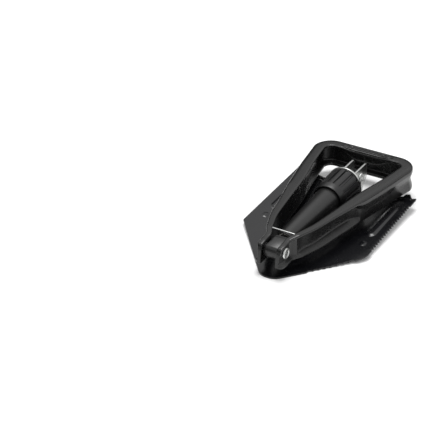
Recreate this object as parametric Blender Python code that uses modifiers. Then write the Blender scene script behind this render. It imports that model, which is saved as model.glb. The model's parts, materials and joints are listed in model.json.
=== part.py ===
"""Folding camp shovel, lying folded with its blade underneath.

The tension core (two tongues joined by a rod) carries both hinges. The D handle turns on the rear
tongue and the blade turns on the front tongue. A tapered tube slides on the core. A collar screwed
onto the tube's threaded sleeve pushes a thrust washer against the blade bracket and locks it.

+Y runs from the handle hinge to the blade hinge, +Z is up, and the origin is on the ground under
the middle of the folded shovel.
"""

import math

import bmesh
import bpy
import numpy as np
from mathutils import Matrix, Vector

MM = 0.001
GAP = 0.3 * MM
RUNNING = 0.1 * MM
MERGE = 0.01 * MM

# Core: distance between the hinges, and the two tongues that carry them.
CORE_LENGTH = 177.0 * MM
REAR_TONGUE_WIDTH = 15.0 * MM
REAR_TONGUE_HEIGHT = 15.0 * MM
REAR_END_RADIUS = 9.5 * MM
REAR_BLOCK_TO_TUBE = 3.0 * MM
FRONT_TONGUE_WIDTH = 11.0 * MM
FRONT_TONGUE_HEIGHT = 15.0 * MM
FRONT_END_RADIUS = 8.6 * MM
FRONT_BLOCK_PAST_WASHER = 7.0 * MM
SPIGOT_LENGTH = 22.0 * MM
SPIGOT_ROOT = 2.0 * MM
SOCKET_DEPTH = 16.0 * MM
CORE_ROD_RADIUS = 4.0 * MM
CORE_ROD_ENGAGEMENT = 14.0 * MM
ROLL_PIN_RADIUS = 1.2 * MM
ROLL_PIN_INSET = 3.5 * MM
HINGE_PIN_RADIUS = 3.2 * MM
HINGE_WASHER_THICKNESS = 0.7 * MM
HINGE_WASHER_RADIUS = 6.0 * MM
PIN_HEAD_RADIUS = 6.4 * MM
PIN_HEAD_HEIGHT = 1.9 * MM
SPANNER_HOLE_RADIUS = 0.8 * MM
SPANNER_HOLE_OFFSET = 2.7 * MM

# Tube and its fittings, with Y measured from the handle hinge.
TUBE_START = 20.0 * MM
TUBE_REAR_RADIUS = 10.3 * MM
TUBE_FRONT_RADIUS = 15.6 * MM
TUBE_BORE_RADIUS = 8.7 * MM
TUBE_WALL_AT_SLEEVE = 1.2 * MM
SLEEVE_LENGTH = 30.0 * MM
SLEEVE_SPIGOT = 8.0 * MM
THREAD_STEP = 0.4 * MM
THREAD_DEPTH = 0.9 * MM
THREAD_PITCH = 3.0 * MM
SLEEVE_TO_COLLAR_FRONT = 8.0 * MM
BUSH_WALL = 1.6 * MM
BUSH_LENGTH = 9.0 * MM
REAR_BUSH_INSET = 2.0 * MM
FRONT_BUSH_INSET = 4.0 * MM

# Locking collar and thrust washer, measured back from the blade hinge.
WASHER_CLEARANCE = 0.3 * MM
WASHER_THICKNESS = 2.6 * MM
WASHER_RIM = 0.2 * MM
WASHER_BORE_CLEARANCE = 1.4 * MM
COLLAR_LENGTH = 40.0 * MM
COLLAR_REAR_WALL = 1.2 * MM
COLLAR_WALL = 1.3 * MM
COLLAR_FLARE = 1.2 * MM
COLLAR_BAND = 8.0 * MM
COLLAR_RIBS = 16
COLLAR_GROOVE_WIDTH = 1.5 * MM
COLLAR_GROOVE_DEPTH = 1.1 * MM
COLLAR_LIP = 4.5 * MM
COLLAR_FACE = 4.0 * MM
INSERT_WALL = 1.3 * MM
SEAL_RADIUS = 0.6 * MM

# D handle, with Y measured from its hinge.
HANDLE_HALF_WIDTH = 61.0 * MM
GRIP_GAP = 28.5 * MM
BAR_THICKNESS = 14.0 * MM
CORNER_OUTER_RADIUS = 22.5 * MM
HANDLE_TOP = 15.0 * MM
HANDLE_BOTTOM = 12.2 * MM
FLANGE_THICKNESS = 2.8 * MM
GRIP_HOOD = 9.0 * MM
EAR_THICKNESS = 3.9 * MM
EAR_REACH = 14.4 * MM
WIRE_RADIUS = 0.9 * MM
WIRE_OVER_TUBE = 1.3 * MM
WIRE_IN_EAR = 8.5 * MM

# Blade, with lengths measured from its tip before rounding.
BLADE_HALF_WIDTH = 75.6 * MM
BLADE_REAR_HALF_WIDTH = 74.2 * MM
BLADE_LENGTH = 210.5 * MM
BLADE_POINT = 89.5 * MM
BLADE_BEHIND_HINGE = 7.0 * MM
BLADE_THICKNESS = 1.8 * MM
TIP_RADIUS = 18.0 * MM
SHOULDER_RADIUS = 12.0 * MM
DISH_AT_SHOULDER = 4.5 * MM
DISH_AT_REAR = 11.5 * MM
SAW_PITCH = 4.8 * MM
SAW_DEPTH = 2.0 * MM
SCALLOP_PITCH = 6.7 * MM
SCALLOP_START = 0.43
SCALLOP_DEPTH = 1.3 * MM
STEP_GAP_AT_BRACKET = 9.0 * MM
STEP_TO_SIDE = 6.6 * MM
STEP_TALL_WIDTH = 7.0 * MM
STEP_TALL = 6.0 * MM
STEP_LIP = 0.5 * MM

# Bracket that joins the blade to its hinge.
BRACKET_THICKNESS = 2.1 * MM
BRACKET_END = 16.2 * MM
BRACKET_TOP = 11.8 * MM
BRACKET_CORNER = 3.6 * MM
BRACKET_STEM_HALF = 6.5 * MM
BRACKET_BASE_HALF_WIDTH = 17.0 * MM
BRACKET_BASE_REAR = 17.5 * MM
BRACKET_BASE_FRONT = 5.0 * MM
BASE_CLEARANCE = 0.5 * MM
RIVET_SHANK_RADIUS = 2.0 * MM
RIVET_HEAD_RADIUS = 3.6 * MM
RIVET_HEAD_HEIGHT = 1.5 * MM
RIVET_TAIL_RADIUS = 2.9 * MM

# Sizes worked out from the ones above.
REAR_EAR_INNER = REAR_TONGUE_WIDTH / 2 + HINGE_WASHER_THICKNESS + 2 * GAP
BRACKET_INNER = FRONT_TONGUE_WIDTH / 2 + HINGE_WASHER_THICKNESS + 2 * GAP
SLEEVE_SPIGOT_RADIUS = TUBE_FRONT_RADIUS - TUBE_WALL_AT_SLEEVE - GAP
SLEEVE_BORE = SLEEVE_SPIGOT_RADIUS - TUBE_WALL_AT_SLEEVE
THREAD_RADIUS = TUBE_FRONT_RADIUS + THREAD_STEP
INSERT_BORE = THREAD_RADIUS + GAP
INSERT_RADIUS = INSERT_BORE + INSERT_WALL
COLLAR_LIP_BORE = TUBE_FRONT_RADIUS + 2 * GAP
COLLAR_REAR_RADIUS = COLLAR_LIP_BORE + COLLAR_REAR_WALL
COLLAR_BAND_RADIUS = INSERT_RADIUS + GAP + COLLAR_WALL
COLLAR_FRONT_RADIUS = COLLAR_BAND_RADIUS + COLLAR_FLARE
WASHER_RADIUS = COLLAR_FRONT_RADIUS + WASHER_RIM
WASHER_BORE_RADIUS = math.hypot(FRONT_TONGUE_WIDTH, FRONT_TONGUE_HEIGHT) / 2 + WASHER_BORE_CLEARANCE
BRACKET_SWING = math.hypot(BRACKET_END - BRACKET_CORNER, BRACKET_TOP - BRACKET_CORNER) + BRACKET_CORNER
WASHER_FACE = BRACKET_SWING + WASHER_CLEARANCE
BLADE_TOP = -(WASHER_RADIUS + BASE_CLEARANCE + BRACKET_THICKNESS + GAP)
AXIS_HEIGHT = BLADE_THICKNESS - BLADE_TOP
CROSSBAR_INNER = CORE_LENGTH + GRIP_GAP
CROSSBAR_OUTER = CROSSBAR_INNER + BAR_THICKNESS
DISH_FLAT = BRACKET_BASE_HALF_WIDTH
POINT_SLOPE = BLADE_HALF_WIDTH / BLADE_POINT
POINT_ANGLE = math.atan(POINT_SLOPE)
POINT_CORNER = math.radians(90) - POINT_ANGLE
TIP_CENTRE = TIP_RADIUS / math.sin(POINT_ANGLE)
BLADE_TIP_Y = CORE_LENGTH + BLADE_BEHIND_HINGE - BLADE_LENGTH
FOLDED_REAR = min(BLADE_TIP_Y + TIP_CENTRE - TIP_RADIUS, -EAR_REACH)
STEP_START = BRACKET_BASE_HALF_WIDTH + STEP_GAP_AT_BRACKET
STEP_END = BLADE_HALF_WIDTH - STEP_TO_SIDE
STEP_TALL_FROM = STEP_END - STEP_TALL_WIDTH
HANDLE_HINGE_Y = -(CROSSBAR_OUTER + FOLDED_REAR) / 2
COLLAR_FRONT = -(WASHER_FACE + WASHER_THICKNESS + GAP)
COLLAR_BACK = COLLAR_FRONT - COLLAR_LENGTH
SLEEVE_FRONT = CORE_LENGTH + COLLAR_FRONT - SLEEVE_TO_COLLAR_FRONT
SLEEVE_BACK = SLEEVE_FRONT - SLEEVE_LENGTH
TUBE_END = SLEEVE_BACK + SLEEVE_SPIGOT
WIRE_Z = TUBE_REAR_RADIUS + WIRE_RADIUS + WIRE_OVER_TUBE
REAR_SPIGOT_RADIUS = TUBE_BORE_RADIUS - 2 * GAP - BUSH_WALL
FRONT_SPIGOT_RADIUS = SLEEVE_BORE - 2 * GAP - BUSH_WALL
REAR_BLOCK_END = TUBE_START - REAR_BLOCK_TO_TUBE
FRONT_BLOCK_END = WASHER_FACE + WASHER_THICKNESS + FRONT_BLOCK_PAST_WASHER


# ---------------------------------------------------------------- scene and materials


def clear_scene():
    for obj in list(bpy.data.objects):
        bpy.data.objects.remove(obj, do_unlink=True)


def new_collection(name):
    collection = bpy.data.collections.new(name)
    bpy.context.scene.collection.children.link(collection)
    return collection


def new_material(name, colour, roughness, metallic):
    material = bpy.data.materials.new(name)
    material.use_nodes = True
    shader = material.node_tree.nodes["Principled BSDF"]
    shader.inputs["Base Color"].default_value = (*colour, 1.0)
    shader.inputs["Roughness"].default_value = roughness
    shader.inputs["Metallic"].default_value = metallic
    return material


def make_materials():
    return {
        "blade": new_material("blade_paint", (0.030, 0.031, 0.034), 0.34, 0.0),
        "handle": new_material("handle_paint", (0.034, 0.034, 0.035), 0.36, 0.0),
        "tube": new_material("tube_paint", (0.036, 0.036, 0.036), 0.38, 0.0),
        "collar": new_material("collar_plastic", (0.026, 0.026, 0.028), 0.48, 0.0),
        "zinc": new_material("zinc_plate", (0.62, 0.63, 0.62), 0.28, 1.0),
        "steel": new_material("bare_steel", (0.48, 0.48, 0.49), 0.34, 1.0),
        "nylon": new_material("nylon", (0.72, 0.71, 0.67), 0.55, 0.0),
        "rubber": new_material("rubber", (0.018, 0.018, 0.018), 0.80, 0.0),
    }


def new_pivot(name, location, parent, collection):
    pivot = bpy.data.objects.new(name, None)
    pivot.location = location
    pivot.parent = parent
    pivot.empty_display_size = 0.01
    collection.objects.link(pivot)
    return pivot


def add_object(name, mesh, material, parent, collection):
    obj = bpy.data.objects.new(name, mesh)
    obj.parent = parent
    mesh.materials.append(material)
    collection.objects.link(obj)
    return obj


def mesh_of(bm, name, closed=True):
    """The mesh of a bmesh. A closed shape has its faces turned outwards; an open sheet keeps its own."""
    if closed:
        bmesh.ops.recalc_face_normals(bm, faces=bm.faces)
    mesh = bpy.data.meshes.new(name)
    bm.to_mesh(mesh)
    bm.free()
    mesh.shade_smooth()
    mesh.set_sharp_from_angle(angle=math.radians(32))
    return mesh


# ---------------------------------------------------------------- shapes


def box_mesh(name, low, high, bevel=0.0):
    """A box between two corners, with its edges rounded by `bevel`."""
    bm = bmesh.new()
    size = Vector(high) - Vector(low)
    centre = (Vector(high) + Vector(low)) / 2
    bmesh.ops.create_cube(bm, size=1.0, matrix=Matrix.Translation(centre) @ Matrix.Diagonal((*size, 1.0)))
    if bevel:
        bmesh.ops.bevel(bm, geom=bm.edges[:], offset=bevel, segments=2, affect="EDGES", profile=0.5)
    return mesh_of(bm, name)


def axis_matrix(axis, centre):
    """Takes local +Z to a world axis, at `centre`."""
    turns = {
        "X": Matrix.Rotation(math.radians(90), 4, "Y"),
        "Y": Matrix.Rotation(math.radians(-90), 4, "X"),
        "Z": Matrix.Identity(4),
    }
    return Matrix.Translation(centre) @ turns[axis]


def cylinder_mesh(name, axis, centre, radius, length, segments=24):
    bm = bmesh.new()
    bmesh.ops.create_cone(
        bm,
        cap_ends=True,
        segments=segments,
        radius1=radius,
        radius2=radius,
        depth=length,
        matrix=axis_matrix(axis, centre),
    )
    return mesh_of(bm, name)


def prism_mesh(name, outline, thickness, axis, centre):
    """An outline of (first, second) pairs, given thickness along `axis` about `centre`.

    On axis X the pairs are (Y, Z), and on axis Z they are (X, Y).
    """
    bm = bmesh.new()
    if axis == "X":
        corners = [Vector((-thickness / 2, first, second)) for first, second in outline]
        travel = Vector((thickness, 0, 0))
    else:
        corners = [Vector((first, second, -thickness / 2)) for first, second in outline]
        travel = Vector((0, 0, thickness))
    base = bm.faces.new([bm.verts.new(corner + Vector(centre)) for corner in corners])
    extruded = bmesh.ops.extrude_face_region(bm, geom=[base])
    top = [item for item in extruded["geom"] if isinstance(item, bmesh.types.BMVert)]
    bmesh.ops.translate(bm, verts=top, vec=travel)
    return mesh_of(bm, name)


def turned_object(name, profile, axis, centre, material, parent, collection, steps=40, closed=False):
    """Turns a profile of (radius, along) pairs about `axis`. It runs down the outer side first."""
    mesh = bpy.data.meshes.new(name)
    edges = [(i, i + 1) for i in range(len(profile) - 1)]
    if closed:
        edges.append((len(profile) - 1, 0))
    mesh.from_pydata([(radius, 0.0, along) for radius, along in profile], edges, [])
    obj = add_object(name, mesh, material, parent, collection)
    obj.matrix_local = axis_matrix(axis, centre)
    screw = obj.modifiers.new("turned", "SCREW")
    screw.steps = steps
    screw.render_steps = steps
    screw.use_merge_vertices = True
    screw.merge_threshold = MERGE
    screw.use_smooth_shade = True
    return obj


def ring_profile(bore, radius, low, high, chamfer):
    """A closed ring section with chamfered outer edges."""
    return [
        (radius - chamfer, high),
        (radius, high - chamfer),
        (radius, low + chamfer),
        (radius - chamfer, low),
        (bore, low),
        (bore, high),
    ]


def as_cutter(obj):
    obj.hide_render = True
    obj.display_type = "WIRE"
    return obj


def boolean(obj, other, operation):
    modifier = obj.modifiers.new(f"{operation.lower()}_{other.name}", "BOOLEAN")
    modifier.operation = operation
    modifier.solver = "EXACT"
    modifier.object = other


def cut_with(obj, mesh, parent, cutters):
    """Cuts a mesh that is given in the coordinates of `parent`."""
    cutter = bpy.data.objects.new(mesh.name, mesh)
    cutter.parent = parent
    cutters.objects.link(cutter)
    boolean(obj, as_cutter(cutter), "DIFFERENCE")


def join_with(obj, mesh, parent, cutters):
    helper = bpy.data.objects.new(mesh.name, mesh)
    helper.parent = parent
    cutters.objects.link(helper)
    boolean(obj, as_cutter(helper), "UNION")


def arc_points(centre, radius, start, end, count):
    """Points on an arc, with angles in degrees from the first axis towards the second."""
    angles = np.radians(np.linspace(start, end, count))
    return [(centre[0] + radius * math.cos(a), centre[1] + radius * math.sin(a)) for a in angles]


# ---------------------------------------------------------------- core


def tongue_outline(length, height, radius):
    """Side view of a tongue: a rounded end about the hinge, and a square end `length` away."""
    half = height / 2
    start = math.degrees(math.asin(half / radius))
    points = arc_points((0.0, 0.0), radius, 180 - start, 180 + start, 9)
    return points + [(length, -half), (length, half)]


def make_tongue(name, hinge, kit, forward, shape, spigot_radius):
    """A block with a round end and a bore for the hinge pin, and a spigot that enters the tube.

    forward is 1 if it runs from its hinge towards +Y, or -1. shape is the block's width, height,
    end radius and length from the hinge.
    """
    parts, cutters, materials = kit
    width, height, end_radius, block_end = shape
    outline = [(forward * y, z) for y, z in tongue_outline(block_end, height, end_radius)]
    mesh = prism_mesh(name, outline, width, "X", (0, 0, 0))
    obj = add_object(name, mesh, materials["tube"], hinge, parts)
    root = block_end - SPIGOT_ROOT
    end = block_end + SPIGOT_LENGTH
    centre = (0, forward * (root + end) / 2, 0)
    spigot = cylinder_mesh(f"{name}_spigot", "Y", centre, spigot_radius, end - root)
    join_with(obj, spigot, hinge, cutters)
    cut_hinge_bore(obj, hinge, cutters, f"{name}_bore", width)
    middle = (0, forward * (end + MM - SOCKET_DEPTH / 2), 0)
    radius = CORE_ROD_RADIUS + GAP
    socket = cylinder_mesh(f"{name}_socket", "Y", middle, radius, SOCKET_DEPTH + 2 * MM)
    cut_with(obj, socket, hinge, cutters)
    pin_y = forward * (end - ROLL_PIN_INSET)
    cut_with(obj, pin_hole_mesh(f"{name}_pin_hole", pin_y), hinge, cutters)


def pin_hole_mesh(name, y):
    return cylinder_mesh(name, "Z", (0, y, 0), ROLL_PIN_RADIUS + GAP, 60.0 * MM, 16)


def cut_hinge_bore(obj, hinge, cutters, name, width):
    bore = cylinder_mesh(name, "X", (0, 0, 0), HINGE_PIN_RADIUS + RUNNING, width + 4 * MM, 32)
    cut_with(obj, bore, hinge, cutters)


def make_core(rear, front, kit):
    parts, cutters, materials = kit
    rear_shape = (REAR_TONGUE_WIDTH, REAR_TONGUE_HEIGHT, REAR_END_RADIUS, REAR_BLOCK_END)
    front_shape = (FRONT_TONGUE_WIDTH, FRONT_TONGUE_HEIGHT, FRONT_END_RADIUS, FRONT_BLOCK_END)
    make_tongue("rear_tongue", rear, kit, 1, rear_shape, REAR_SPIGOT_RADIUS)
    make_tongue("front_tongue", front, kit, -1, front_shape, FRONT_SPIGOT_RADIUS)
    rear_end = REAR_BLOCK_END + SPIGOT_LENGTH
    front_end = CORE_LENGTH - FRONT_BLOCK_END - SPIGOT_LENGTH
    rod_rear = rear_end - CORE_ROD_ENGAGEMENT
    rod_front = front_end + CORE_ROD_ENGAGEMENT
    middle = (0, (rod_rear + rod_front) / 2, 0)
    rod = cylinder_mesh("core_rod", "Y", middle, CORE_ROD_RADIUS, rod_front - rod_rear)
    obj = add_object("core_rod", rod, materials["steel"], rear, parts)
    stations = {
        "rear_roll_pin": (rear_end - ROLL_PIN_INSET, REAR_SPIGOT_RADIUS),
        "front_roll_pin": (front_end + ROLL_PIN_INSET, FRONT_SPIGOT_RADIUS),
    }
    for name, (y, radius) in stations.items():
        cut_with(obj, pin_hole_mesh(f"{name}_hole", y), rear, cutters)
        pin = cylinder_mesh(name, "Z", (0, y, 0), ROLL_PIN_RADIUS, 2 * (radius - GAP), 16)
        add_object(name, pin, materials["steel"], rear, parts)


# ---------------------------------------------------------------- tube and sleeve


def make_tube(rear, kit):
    parts, _, materials = kit
    edge = 0.5 * MM
    recess = TUBE_END - SLEEVE_SPIGOT - GAP
    front_bore = TUBE_FRONT_RADIUS - TUBE_WALL_AT_SLEEVE
    profile = [
        (TUBE_FRONT_RADIUS - edge, TUBE_END),
        (TUBE_FRONT_RADIUS, TUBE_END - edge),
        (TUBE_REAR_RADIUS, TUBE_START + edge),
        (TUBE_REAR_RADIUS - edge, TUBE_START),
        (TUBE_BORE_RADIUS, TUBE_START),
        (TUBE_BORE_RADIUS, recess - 2 * MM),
        (front_bore, recess),
        (front_bore, TUBE_END),
    ]
    turned_object("shaft_tube", profile, "Y", (0, 0, 0), materials["tube"], rear, parts, 48, closed=True)


def thread_profile(radius, depth, low, high):
    """Ridges from high to low at the thread's pitch: crests at `radius`, roots `depth` inside."""
    count = int((high - low) / THREAD_PITCH)
    pitch = (high - low) / count
    points = []
    for turn in range(count):
        top = high - turn * pitch
        points += [(radius - depth, top), (radius, top - 0.5 * pitch)]
    return points + [(radius - depth, low)]


def make_sleeve(rear, kit):
    parts, _, materials = kit
    step = TUBE_END + GAP
    profile = thread_profile(THREAD_RADIUS, THREAD_DEPTH, step, SLEEVE_FRONT)
    profile += [(SLEEVE_SPIGOT_RADIUS, step), (SLEEVE_SPIGOT_RADIUS, SLEEVE_BACK)]
    profile += [(SLEEVE_BORE, SLEEVE_BACK), (SLEEVE_BORE, SLEEVE_FRONT)]
    turned_object("threaded_sleeve", profile, "Y", (0, 0, 0), materials["steel"], rear, parts, 32, closed=True)


def make_bushes(rear, kit):
    parts, _, materials = kit
    rear_low = TUBE_START + REAR_BUSH_INSET
    front_low = SLEEVE_FRONT - BUSH_LENGTH - FRONT_BUSH_INSET
    rows = {
        "rear_bush": (REAR_SPIGOT_RADIUS + GAP, TUBE_BORE_RADIUS - GAP, rear_low),
        "front_bush": (FRONT_SPIGOT_RADIUS + GAP, SLEEVE_BORE - GAP, front_low),
    }
    for name, (bore, radius, low) in rows.items():
        profile = ring_profile(bore, radius, low, low + BUSH_LENGTH, 0.3 * MM)
        turned_object(name, profile, "Y", (0, 0, 0), materials["nylon"], rear, parts, 32, closed=True)


# ---------------------------------------------------------------- collar


def make_collar(front, kit):
    parts, cutters, materials = kit
    edge = 0.9 * MM
    pocket = INSERT_RADIUS + GAP
    seal_middle = COLLAR_BACK + COLLAR_LIP + GAP + SEAL_RADIUS
    face = COLLAR_FRONT - COLLAR_FACE
    neck = WASHER_BORE_RADIUS + MM
    profile = [
        (COLLAR_FRONT_RADIUS - edge, COLLAR_FRONT),
        (COLLAR_FRONT_RADIUS, COLLAR_FRONT - edge),
        (COLLAR_BAND_RADIUS, COLLAR_BACK + COLLAR_BAND),
        (COLLAR_REAR_RADIUS, COLLAR_BACK + 0.4 * edge),
        (COLLAR_REAR_RADIUS - 0.4 * edge, COLLAR_BACK),
        (COLLAR_LIP_BORE, COLLAR_BACK),
        (COLLAR_LIP_BORE, COLLAR_BACK + COLLAR_LIP),
        (pocket, COLLAR_BACK + COLLAR_LIP),
        (pocket, face),
        (neck, face),
        (neck, COLLAR_FRONT),
    ]
    turned = turned_object(
        "locking_collar", profile, "Y", (0, 0, 0), materials["collar"], front, parts, 48, closed=True
    )
    cut_with(turned, collar_grooves_mesh(), front, cutters)
    insert_low = seal_middle + SEAL_RADIUS + GAP
    insert = ring_profile(INSERT_BORE, INSERT_RADIUS, insert_low, face - GAP, 0.3 * MM)
    turned_object("collar_insert", insert, "Y", (0, 0, 0), materials["steel"], front, parts, 48, closed=True)
    ring_centre = (COLLAR_LIP_BORE + SEAL_RADIUS, seal_middle)
    ring = arc_points(ring_centre, SEAL_RADIUS, 90, -210, 6)
    turned_object("collar_seal", ring, "Y", (0, 0, 0), materials["rubber"], front, parts, 32, closed=True)


def collar_grooves_mesh():
    """One narrow slot between each two ribs, from the rear band out through the front edge."""
    bm = bmesh.new()
    low = COLLAR_BACK + COLLAR_BAND
    high = COLLAR_FRONT + 3.0 * MM
    slope = math.atan((COLLAR_FRONT_RADIUS - COLLAR_BAND_RADIUS) / (COLLAR_LENGTH - COLLAR_BAND))
    floor = (COLLAR_BAND_RADIUS + COLLAR_FRONT_RADIUS) / 2 - COLLAR_GROOVE_DEPTH
    depth = 4.0 * MM
    size = Matrix.Diagonal((COLLAR_GROOVE_WIDTH, high - low, depth, 1.0))
    lift = Matrix.Translation((0, (low + high) / 2, floor + depth / 2))
    lean = Matrix.Rotation(slope, 4, "X")
    for rib in range(COLLAR_RIBS):
        turn = Matrix.Rotation(math.tau * (rib + 0.5) / COLLAR_RIBS, 4, "Y")
        bmesh.ops.create_cube(bm, size=1.0, matrix=turn @ lift @ lean @ size)
    return mesh_of(bm, "collar_grooves")


def make_thrust_washer(front, kit):
    parts, _, materials = kit
    high = -WASHER_FACE
    profile = ring_profile(WASHER_BORE_RADIUS, WASHER_RADIUS, high - WASHER_THICKNESS, high, 0.5 * MM)
    turned_object("thrust_washer", profile, "Y", (0, 0, 0), materials["zinc"], front, parts, 64, closed=True)


# ---------------------------------------------------------------- D handle

# One arm from the end of its ear to the corner. An ear row's y is a distance from the hinge, and
# an arm row's share runs from the last ear row (0) to the corner (1). spread is the share of the
# way from the ear's inner face out to the corner's. The other values are in millimetres: toe is
# how far the lower flange stands out past the upper one, and pocket and channel are how far the
# outer and inner sides sink between their flanges.
EAR_ROWS = (
    # y, width, top, bottom, toe, pocket
    (-EAR_REACH / MM, 3.9, -8.0, 11.6, 0.6, 0.0),
    (-13.6, 3.9, -1.0, 12.3, 1.2, 0.2),
    (-12.2, 4.8, 5.0, 12.5, 2.0, 1.1),
    (-10.0, 5.6, 9.6, 12.6, 2.4, 1.8),
    (-6.0, 6.0, 10.8, 12.6, 2.6, 2.1),
    (4.0, 6.0, 12.0, 12.6, 2.6, 2.1),
    (8.0, 6.0, 12.6, 12.6, 2.6, 2.1),
    (10.5, 6.4, 13.0, 12.6, 2.6, 2.1),
    (13.0, 6.8, 13.4, 12.6, 2.6, 0.6),
    (15.5, 7.0, 13.8, 12.6, 2.6, 0.6),
    (18.0, 7.2, 14.3, 12.6, 2.6, 3.4),
)
EAR_SPREAD = ((-EAR_REACH / MM, 0.0), (8.0, 0.0), (12.0, 0.03), (18.0, 0.115))
ARM_ROWS = (
    # share, spread, width, toe, pocket, wall slope, channel
    (0.000, 0.115, 7.2, 2.6, 3.4, 1.0, 0.0),
    (0.030, 0.155, 7.6, 2.6, 4.4, 1.0, 0.0),
    (0.120, 0.290, 8.4, 2.6, 5.2, 1.0, 0.0),
    (0.300, 0.437, 10.0, 2.0, 6.2, 1.0, 0.0),
    (0.430, 0.523, 12.4, 0.8, 7.0, 1.2, 0.0),
    (0.475, 0.552, 13.4, 0.0, 6.0, 1.6, 0.0),
    (0.510, 0.573, 14.2, -0.8, 3.0, 3.0, 0.0),
    (0.540, 0.594, 14.8, -1.4, 1.4, 6.0, 0.0),
    (0.640, 0.680, 15.2, -2.0, 1.2, 8.0, 1.0),
    (0.760, 0.806, 14.6, -2.0, 1.4, 8.0, 4.0),
    (0.900, 0.930, 13.8, -1.2, 1.8, 8.0, 6.0),
    (1.000, 1.000, 14.0, 0.0, 2.0, 8.0, 6.5),
)


def section_points(inner, outer, top, bottom, toe, pocket, wall, channel, hood=0.0):
    """A flanged section across the bar: 24 points round it, from its outer top edge.

    inner and outer are plan points, pocket and channel are how far its two sides sink, wall is
    how gently the pocket starts, and hood is how far the inner upper flange hangs down.
    """
    inner = np.array(inner)
    outer = np.array(outer)
    width = float(np.linalg.norm(outer - inner))
    across = (outer - inner) / width
    height = top + bottom
    edge = min(3.2 * MM, 0.3 * width, 0.24 * height)
    flange = min(FLANGE_THICKNESS, 0.3 * height)
    wall = min(wall, height / 2 - flange - 0.2 * MM)
    out = [
        (width - edge, top),
        (width - 0.3 * edge, top - 0.3 * edge),
        (width, top - edge * 0.95),
    ]
    side = [
        (width, top - max(flange, edge)),
        (width - pocket / 2, top - max(flange, edge) - wall / 2),
        (width - pocket, top - max(flange, edge) - wall),
        (width - pocket, -bottom + max(flange, edge) + wall),
        (width - pocket / 2 + toe / 2, -bottom + max(flange, edge) + wall / 2),
        (width + toe, -bottom + max(flange, edge)),
    ]
    under = [
        (width + toe, -bottom + 0.95 * edge),
        (width + toe - 0.3 * edge, -bottom + 0.3 * edge),
        (width + toe - edge, -bottom),
        (edge, -bottom),
        (0.3 * edge, -bottom + 0.3 * edge),
        (0.0, -bottom + 0.95 * edge),
    ]
    lip = max(flange, edge)
    slope = min(1.5 * MM, height / 2 - lip - 0.1 * MM)
    inside = [
        (0.0, -bottom + lip),
        (channel / 2, -bottom + lip + slope / 2),
        (channel, -bottom + lip + slope),
        (channel, top - lip - hood - slope),
        (channel / 2, top - lip - hood - slope / 2),
        (0.0, top - lip - hood),
        (0.0, top - 0.95 * edge),
        (0.3 * edge, top - 0.3 * edge),
        (edge, top),
    ]
    ring = out + side + under + inside
    return [(*(inner + across * n), z) for n, z in ring]


def smooth_curve(stations, values, where):
    """A cubic through the stations with the slopes of its neighbours, read at `where`."""
    stations = np.array(stations, dtype=float)
    values = np.array(values, dtype=float)
    slopes = np.gradient(values, stations)
    index = int(np.clip(np.searchsorted(stations, where) - 1, 0, len(stations) - 2))
    span = stations[index + 1] - stations[index]
    t = (where - stations[index]) / span
    basis = (2 * t**3 - 3 * t**2 + 1, t**3 - 2 * t**2 + t, -2 * t**3 + 3 * t**2, t**3 - t**2)
    return float(
        basis[0] * values[index]
        + basis[1] * span * slopes[index]
        + basis[2] * values[index + 1]
        + basis[3] * span * slopes[index + 1]
    )


def handle_sections():
    """Sections from the middle of the crossbar, round the right corner, to the end of the ear."""
    corner_inner_radius = CORNER_OUTER_RADIUS - BAR_THICKNESS
    corner_x = HANDLE_HALF_WIDTH - CORNER_OUTER_RADIUS
    corner_y = CROSSBAR_OUTER - CORNER_OUTER_RADIUS
    full = (HANDLE_TOP, HANDLE_BOTTOM, 0.0, 2.0 * MM, 8.0 * MM, 6.5 * MM)
    sections = []
    for x in np.linspace(0.0, corner_x, 8)[:-1]:
        fade = min(max((x - 0.25 * corner_x) / (0.65 * corner_x), 0.0), 1.0)
        hood = GRIP_HOOD * (1 + math.cos(math.pi * fade)) / 2
        sections.append(section_points((x, CROSSBAR_INNER), (x, CROSSBAR_OUTER), *full, hood))
    for angle in np.radians(np.linspace(90, 0, 9)):
        ray = np.array((math.cos(angle), math.sin(angle)))
        centre = np.array((corner_x, corner_y))
        inner = centre + ray * corner_inner_radius
        outer = centre + ray * CORNER_OUTER_RADIUS
        sections.append(section_points(inner, outer, *full))
    ear_inner = REAR_EAR_INNER
    spread_width = corner_x + corner_inner_radius - ear_inner
    arm_start = EAR_ROWS[-1][0] * MM
    columns = list(zip(*ARM_ROWS))
    shares = columns[0]
    for share in np.linspace(1.0, 0.0, 27)[1:]:
        y = arm_start + share * (corner_y - arm_start)
        spread, width, toe, pocket, wall, channel = (
            smooth_curve(shares, column, share) for column in columns[1:]
        )
        x = ear_inner + spread * spread_width
        top = EAR_ROWS[-1][2] * MM + min(1.0, 2 * share) * (HANDLE_TOP - EAR_ROWS[-1][2] * MM)
        bottom = EAR_ROWS[-1][3] * MM + min(1.0, 2 * share) * (HANDLE_BOTTOM - EAR_ROWS[-1][3] * MM)
        sections.append(
            section_points(
                (x, y),
                (x + width * MM, y),
                top,
                bottom,
                toe * MM,
                max(pocket, 0.0) * MM,
                wall * MM,
                max(channel, 0.0) * MM,
            )
        )
    spread_at, spreads = zip(*EAR_SPREAD)
    for y, width, top, bottom, toe, pocket in reversed(EAR_ROWS[:-1]):
        x = ear_inner + float(np.interp(y, spread_at, spreads)) * spread_width
        row = (top * MM, bottom * MM, toe * MM, pocket * MM, 1.0 * MM, 0.0)
        sections.append(section_points((x, y * MM), (x + width * MM, y * MM), *row))
    return sections


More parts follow.
